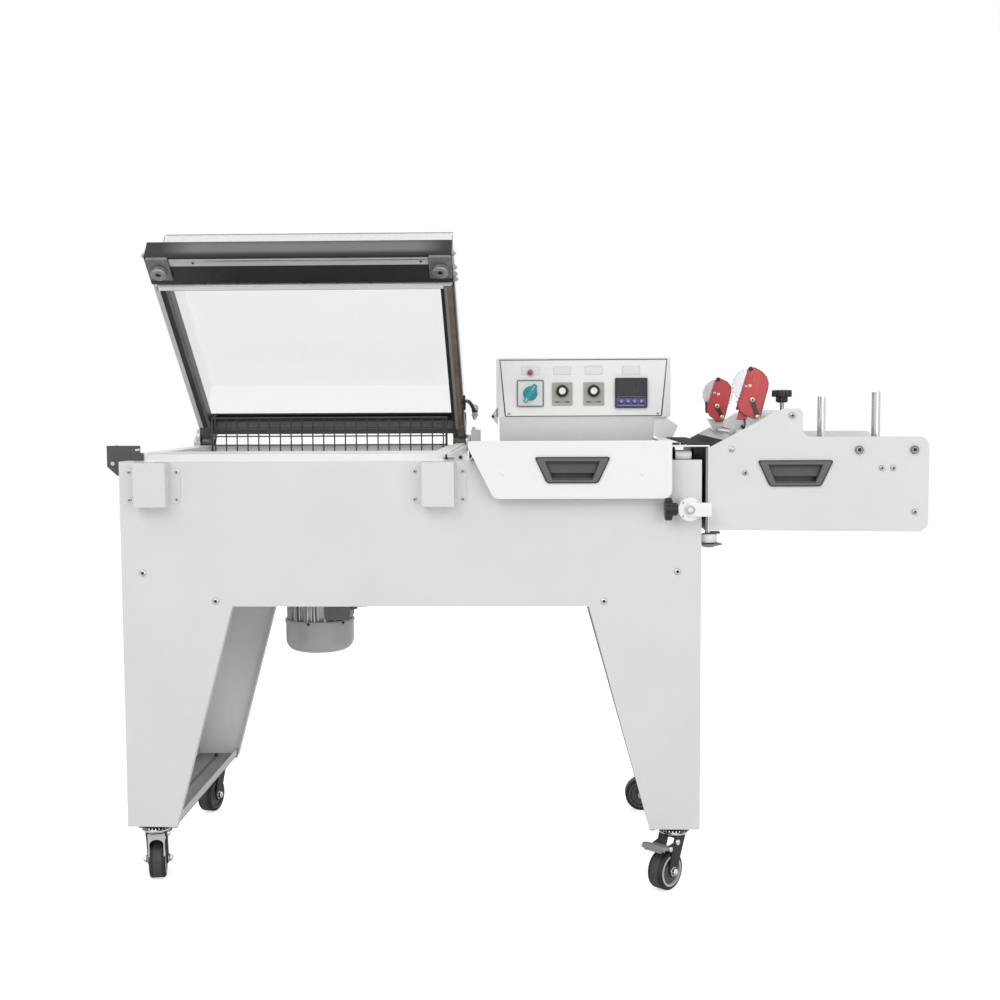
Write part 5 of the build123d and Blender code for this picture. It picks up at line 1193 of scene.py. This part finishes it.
def dressHanger():
    edge, lip, shadeSheet, bolts, bracket, cone = newShapes(6)
    keys = ("left", "side", "topZ", "lowZ", "front", "rear")
    left, side, top, low, front, rear = (hangerBits[k] for k in keys)
    wall, shadeFrom = hangerBits["wall"], hangerBits["shadeFrom"]
    outer, length, middle = side + wall, rear - front, (front + rear) / 2
    outline = [(left, top - wall), (side, top - wall), (side, low), (outer, low), (outer, top - 3),
               (outer - 1, top), (left, top)]
    addSlab(edge, facingFront(0, front, 0), outline, 0.05, 0.8)
    addSlab(edge, facingUp((left + shadeFrom) / 2, middle, top), rectangle(shadeFrom - left, length), 0.05, 0.5)
    addPiece(edge, "hangerEdge", "whitePlate", "cradle", 0.2)
    addSlab(lip, facingFront(side - 2.2, front, (top + low) / 2 - 2), rectangle(4.4, top - low - 6), -1.5, 0)
    addPiece(lip, "hangerLip", "midGrey", "cradle", 0.3)
    # painted shade: a matt black sheet on the hanger's top and along the slide, for the deep shade between
    # the cradle plates
    addSlab(shadeSheet, facingUp((shadeFrom + outer) / 2, middle, top), rectangle(outer - shadeFrom, length - 20, 2),
            0.05, 2.2)
    (lowU, lowZ), (highU, highZ) = hangerBits["slide"]
    slide = ((lowU, lowZ), (highU, highZ), (highU, highZ + 1), (lowU, lowZ + 1))
    addSlab(shadeSheet, facingFront(0, front + 2, 0), slide, -hangerBits["slideLong"], 0)
    addPiece(shadeSheet, "hangerPaintedShadeSheet", "paintedShadeBlack", "cradle", 0.4)
    nut = ((0, 0), (4.4, 0), (4.4, 3.2), (3.4, 4.2), (2.2, 4.2), (2.0, 2.4), (0, 2.4))
    for u in hangerBits["bolts"]:
        addTurned(bolts, facingUp(u, 12, top + 0.5), nut, 20)
    addPiece(bolts, "hangerBolts", "darkSteel", "cradle")
    u, z = hangerBits["rollerU"], hangerBits["rollerZ"]
    d = hangerBits["rollerD"]
    for x in (-18, 18, -18, 18):  # two rings in one place, which turns the brackets' sides near black
        addRing(bracket, facingRight(u + x, d, z + 2), rectangle(20, 22, 5), rectangle(10, 10, 4), -2, 2)
    for x in (-22, 20):
        addTurned(bracket, facingRight(u + x, d, z), ((0, -2), (5, -2), (5, 2), (3, 3), (0, 3)), 20)
    addPiece(bracket, "rollerBrackets", "darkSteel", "cradle", 0.3)
    u, z = hangerBits["lowRollerU"], hangerBits["lowRollerZ"]
    addTurned(cone, facingUp(u, d, z - 12), ((3, 1.5), (24, 1.4), (26, 0), (25.6, -1.2), (12, -4.4), (10, -6),
                                             (3, -6.2), (0, -6.2)), 44)
    addPiece(cone, "lowRollerPlate", "midGrey", "cradle")


lockBits = {"u": 1088, "z": 740.5, "front": -30, "screwReach": 13, "knobU": 1042, "knobD": -22}


def dressLock():
    disc, screws, grips = newShapes(3)
    u, z, reach = lockBits["u"], lockBits["z"], lockBits["screwReach"]
    at = facingFront(u, lockBits["front"], z)
    addTurned(disc, at, ((22.2, -20), (22.4, -1.6), (21.2, 0), (19, 0.3), (9.4, 0.3)), 64)
    addPiece(disc, "lockDisc", "whiteMoulding", "chassis")
    for x, y in ((-reach, reach), (reach, reach), (-reach, -reach), (reach, -reach)):
        addScrew(screws, moved(at, x, y, 0.3), 0.5)
    addTurned(screws, moved(at, 0, 0, 4), ((8.6, 0), (8.6, 3.2), (7.6, 4), (5, 4.1), (4.2, 2.6), (0, 2.6)),
              28)
    addPiece(screws, "lockScrews", "zincPlate", "chassis")
    side = frameOf(spot(lockBits["knobU"], lockBits["knobD"], z), (0, 1, 0), (0, 0, 1), (-1, 0, 0))
    addTurned(grips, side, ((17.4, -13.6), (18.6, -12), (18.8, -6.5), (18.8, -1), (17.2, 0.8), (6, 1.2),
                            (0, 1.2)), 60)
    for rib in around(side, 12, 18.6):
        addTurned(grips, rib, ((0, -13), (2.4, -12.6), (2.7, -11.5), (2.7, -1.2), (2.2, 0), (0, 0.2)), 12)
    addTurned(grips, side, ((11, -13), (11, -22), (9.4, -23.6), (0, -23.6)), 40)
    for rib in around(side, 8, 10.5):
        addTurned(grips, rib, ((0, -22), (1.6, -21.6), (1.6, -13), (0, -13)), 10)
    addPiece(grips, "lockKnobGrip", "blackMouldingAndPaintedShade", "locking_knob")


# cradle: screw sockets, the peak's knob, roller ends

cradleBits = {
    "screws": ((1450, 815.7), (1471, 815.7), (1194.2, 807.6), (1512.5, 732.7)), "peak": (1281.5, 915),
    "rollers": ((1407.5, 850), (1510.5, 850)), "guide": (1168.7, 851.9), "knob": (1277.53, 90, 963),
    "face": -1.8, "rear": 443, "knobRibs": 9, "threads": 9,
}


def dressCradle():
    heads, sockets, dark, grip, stem = newShapes(5)
    face = cradleBits["face"]
    for u, z in cradleBits["screws"]:
        addBolt(heads, sockets, facingFront(u, face, z), 0.72)
    u, z = cradleBits["peak"]
    addBolt(heads, sockets, facingFront(u, face, z), 0.86)
    for u, z in cradleBits["rollers"]:
        at = facingFront(u, 0, z)
        addTurned(dark, at, ((0, 0), (7.6, 0), (7.8, 0.6), (7.8, 4.4), (7.0, 5.2), (4.4, 5.2)), 36)
        addTurned(sockets, at, ((4.5, 5.2), (4.2, 2.4), (0, 2.4)), 6)
        addRing(heads, at, circle(4.6), circle(3.8), 4.6, 5.4)
        addTurned(dark, facingRear(u, cradleBits["rear"], z), ((0, 0), (7.6, 0), (7.6, 4), (6.6, 5),
                                                               (0, 5)), 32)
    u, z = cradleBits["guide"]
    addTurned(heads, facingFront(u, 0, z), ((0, 0), (5.4, 0), (5.6, 0.5), (5.2, 2), (3.6, 3), (0, 3.2)), 28)
    addPiece(heads, "cradleBolts", "zincPlate", "cradle")
    addPiece(sockets, "cradleSockets", "darkSteel", "cradle")
    addPiece(dark, "rollerEnds", "greyAlloy", "cradle")
    at = facingUp(*cradleBits["knob"])
    addTurned(grip, at, ((15.4, -13), (17, -12), (17.4, -6), (17, -0.6), (15, 0.6), (5, 1), (0, 1)), 60)
    for rib in around(at, cradleBits["knobRibs"], 16.5, 0.3):
        addTurned(grip, rib, ((0, -13), (2.6, -12.6), (3.1, -11.4), (3.1, -1.4), (2.4, 0), (0, 0.3)), 14)
    addTurned(grip, at, ((10.6, -13), (10.6, -21.6), (9.6, -23.4), (4, -24), (0, -24)), 40)
    for rib in around(at, cradleBits["knobRibs"], 10.2, 0.3):
        addTurned(grip, rib, ((0, -22.4), (1.7, -22), (1.7, -13), (0, -13)), 10)
    addPiece(grip, "peakKnobGrip", "blackMouldingAndPaintedShade", "clamp_knob")
    addTurned(stem, at, ((4.1, -23.6), (4.1, -36)), 20)
    for index in range(cradleBits["threads"]):
        level = -25 - index * 1.25
        addTurned(stem, at, ((4.0, level), (4.45, level - 0.4), (4.45, level - 0.6), (4.0, level - 1.0)), 20)
    addPiece(stem, "peakKnobThread", "zincPlate", "clamp_knob")


# perforators

perforatorBits = {
    "pivot": (1186, 882), "middle": {"front": 60, "rear": 330}, "lean": {"front": 75.6, "rear": 92.0},
    "axle": {"front": 92.3, "rear": 73.9}, "face": 13, "teeth": 72, "toothRadius": 31.8,
    "rivet": {"front": (90, 8), "rear": (78, 8)},
    "rim": {
        "front": ((121, 9), (126.6, 8.5), (128, -2), (124, -16), (116, -27), (106, -33.2), (95, -34.7),
                  (42, -34.3), (36.8, -33.5), (34, -26), (34.6, -12), (38.4, 1.6), (46, 10.7), (57, 15.6),
                  (66, 11)),
        "rear": ((104.7, 4.2), (108.2, 1.4), (106.4, -7.1), (99.6, -19.8), (88.5, -27.6), (77, -26.4),
                 (29.7, -13.6), (19.1, -9.3), (17.1, -4.6), (20.9, 8.2), (28.9, 18.7), (39.9, 24.9),
                 (50.7, 25), (56, 20.6)),
    },
    "spring": {"front": ((67.7, -11.1), (38.6, -29)), "rear": ((49.7, 3.9), (26.1, -6))},
}


def onPerforator(label, x, y, out):
    u, z = perforatorBits["pivot"]
    lean = radians(perforatorBits["lean"][label])
    along, across = Vector((cos(lean), 0, sin(lean))), Vector((-sin(lean), 0, cos(lean)))
    origin = spot(u, perforatorBits["middle"][label] - out, z) + (along * x + across * y) / 1000
    return frameOf(origin, along, across, (0, -1, 0))


def shrunk(points, amount):
    # the outline moved inwards
    middle = sum((Vector(p) for p in points), Vector((0, 0))) / len(points)
    out = []
    count = len(points)
    for index in range(count):
        before, corner, after = (Vector(points[(index + k) % count]) for k in (-1, 0, 1))
        edge = (after - before).normalized()
        side = Vector((-edge.y, edge.x))
        if side.dot(middle - corner) < 0:
            side = -side
        out.append((corner + side * amount).to_tuple())
    return out


def dressPerforator(label):
    body = "perforator_" + label
    at = onPerforator(label, 0, 0, 0)
    face = perforatorBits["face"]
    outline = perforatorBits["rim"][label]
    rim, screws, bumper, hook, teeth, mark = newShapes(6)
    axle = perforatorBits["axle"][label]
    addRing(rim, at, shrunk(outline, -0.5), shrunk(outline, 1.3), face - 7.2, face + 0.5)
    addPiece(rim, "guardRim_" + label, "guardEdge", body, 0.3)
    for (x, y), size in zip(perforatorBits["spring"][label], (1.25, 1.1)):
        addScrew(screws, onPerforator(label, x, y, face + 3), size)
    hub = onPerforator(label, axle, 0, face)
    addTurned(screws, hub, ((0, 0), (3.2, 0), (3.2, 0.7), (2, 1.2), (0, 1.3)), 24)
    addPiece(screws, "guardScrews_" + label, "brassed", body)
    top = max(outline, key=lambda p: p[0] + p[1])
    low = outline[-3]
    stop = onPerforator(label, top[0] - 2.5, top[1] - 2, face - 8)
    addTurned(bumper, stop, ((0, 0), (4.4, 0), (4.4, 8.6), (3.4, 9.4), (0, 9.6)), 24)
    addSlab(bumper, onPerforator(label, low[0] + 8, low[1] + 0.6, face - 9), rectangle(24, 4.6, 2), 0, 8)
    addPiece(bumper, "guardBumper_" + label, "blackMouldingAndPaintedShade", body, 0.3)
    for tooth in around(onPerforator(label, axle, 0, 1.4), perforatorBits["teeth"],
                        perforatorBits["toothRadius"]):
        addSlab(teeth, tooth, ((-1.6, -1.1), (1.2, 0), (-1.6, 1.1)), -0.5, 0.5)
    addPiece(teeth, "cutterTeeth_" + label, "midGrey", "cutter_" + label)
    if label == "front":
        wire = [spot(1199, 52, 908), spot(1201, 51, 901), spot(1200, 50, 894), spot(1196, 50, 890)]
        addTube(hook, wire, 1.6, 10)
        addTube(hook, [spot(1194, 49, 896), spot(1202, 49, 886)], 2.6, 12)
        addPiece(hook, "springHook_" + label, "darkSteel", body)
    else:
        addSlab(hook, facingFront(0, 338, 0), ((1163, 904), (1190, 904), (1203, 876), (1176, 876)), 0, 2)
        addSlab(hook, facingFront(0, 350, 0), ((1163, 904), (1190, 904), (1190, 902), (1163, 902)), 0, 12)
        addPiece(hook, "foldedBracket_" + label, "whitePlate", "cradle", 0.4)
    addSlab(mark, onPerforator(label, *perforatorBits["rivet"][label], face + 0.1), rectangle(3.5, 6, 1), 0,
            0.25)
    addPiece(mark, "guardRivet_" + label, "paleAlloy", body)


# hinge corner: caps, brackets and bolts beside the mesh, and the cover's seams

cornerBits = {
    "capU": 21, "capZ": 864, "nutU": 649, "screwD": 3, "screwZ": 839.6,
    "hook": ((645, 833), (661, 833), (661, 849), (652, 849), (652, 843), (645, 843)),
    "gusset": ((696.5, 910), (711.5, 931), (711.5, 889)),
    "cover": {"left": 33, "right": 629, "front": 500, "top": 155, "low": 51},
}


def dressHingeCorner():
    plate, bolt, switchBolt, corner, lug, seams = newShapes(6)
    screwD, screwZ = cornerBits["screwD"], cornerBits["screwZ"]
    hub = facingLeft(cornerBits["capU"], machine["hingeD"], cornerBits["capZ"])
    addTurned(plate, hub, ((0, -9), (18.6, -9), (19.4, -8), (19.4, -1.4), (17.8, 0.4), (9, 0.8), (8.4, -1),
                           (0, -1)), 44)
    addSlab(plate, facingFront(668, 500, 838), rectangle(20, 14, 2), 0, 3)
    addPiece(plate, "hingeCaps", "paleAlloy", "chassis", 0.3)
    addSlab(corner, facingFront(0, 5, 0), cornerBits["hook"], 0, 3)
    addTurned(corner, facingRight(624, screwD, screwZ), ((0, 0), (4.2, 0), (4.2, 17), (3.2, 17.6),
                                                         (3.2, 22), (0, 22)), 24)
    addTurned(lug, facingFront(656, 2, 838.6), ((0, 0), (3.4, 0), (3.4, 1.6), (2.4, 2.4), (0, 2.5)), 20)
    addTurned(lug, facingRight(627, screwD, screwZ), ((4.3, 0), (4.9, 0.4), (4.9, 3.6), (4.3, 4)), 24)
    addSlab(corner, facingFront(0, 478.5, 0), cornerBits["gusset"], 0, 2.5)
    addTurned(lug, facingFront(700.6, 476, 909.4), ((0, 0), (3.3, 0), (3.3, 2.2), (2.3, 3.2), (0, 3.3)), 20)
    addPiece(corner, "cornerBrackets", "paleAlloy", "chassis", 0.3)
    addPiece(lug, "cornerBolts", "darkSteel", "chassis")
    left, right, front, top, low = (cornerBits["cover"][k] for k in ("left", "right", "front", "top", "low"))
    addTube(seams, [onHood(u, front - 4, top - 4).translation for u in (left, right)], 1.1, 8)
    for u in (left + 0.6, right - 0.6):
        addTube(seams, [onHood(u, front, low).translation, onHood(u, front, top - 14).translation], 1.0, 8)
    addPiece(seams, "coverSeams", "seamGrey", "hood")
    nut = facingRight(cornerBits["nutU"], machine["hingeD"], machine["hingeZ"])
    addTurned(bolt, nut, ((9, 0), (9, 3), (6.6, 3.4), (6.6, 9), (5.6, 10), (0, 10)), 6)
    addTurned(bolt, nut, ((3.6, 9), (3.6, 17), (3, 18), (0, 18)), 18)
    addPiece(bolt, "hingeBolt", "darkSteel", "hood")
    addTurned(switchBolt, facingRight(648, 486, 838), ((0, -1), (5, -1), (5, 3), (3, 3.6), (0, 3.6)), 24)
    addPiece(switchBolt, "switchBolt", "zincPlate", "chassis")


dressBody()
print("body dressed")
for name in casterBits["places"]:
    dressCaster(name)
print("casters dressed")
dressMotor()
for label in ("table", "cradle"):
    dressHandle(label)
print("motor and handles dressed")
dressHanger()
dressLock()
dressCradle()
for label in ("front", "rear"):
    dressPerforator(label)
print("cradle and perforators dressed")
dressHingeCorner()
print("hinge corner dressed")
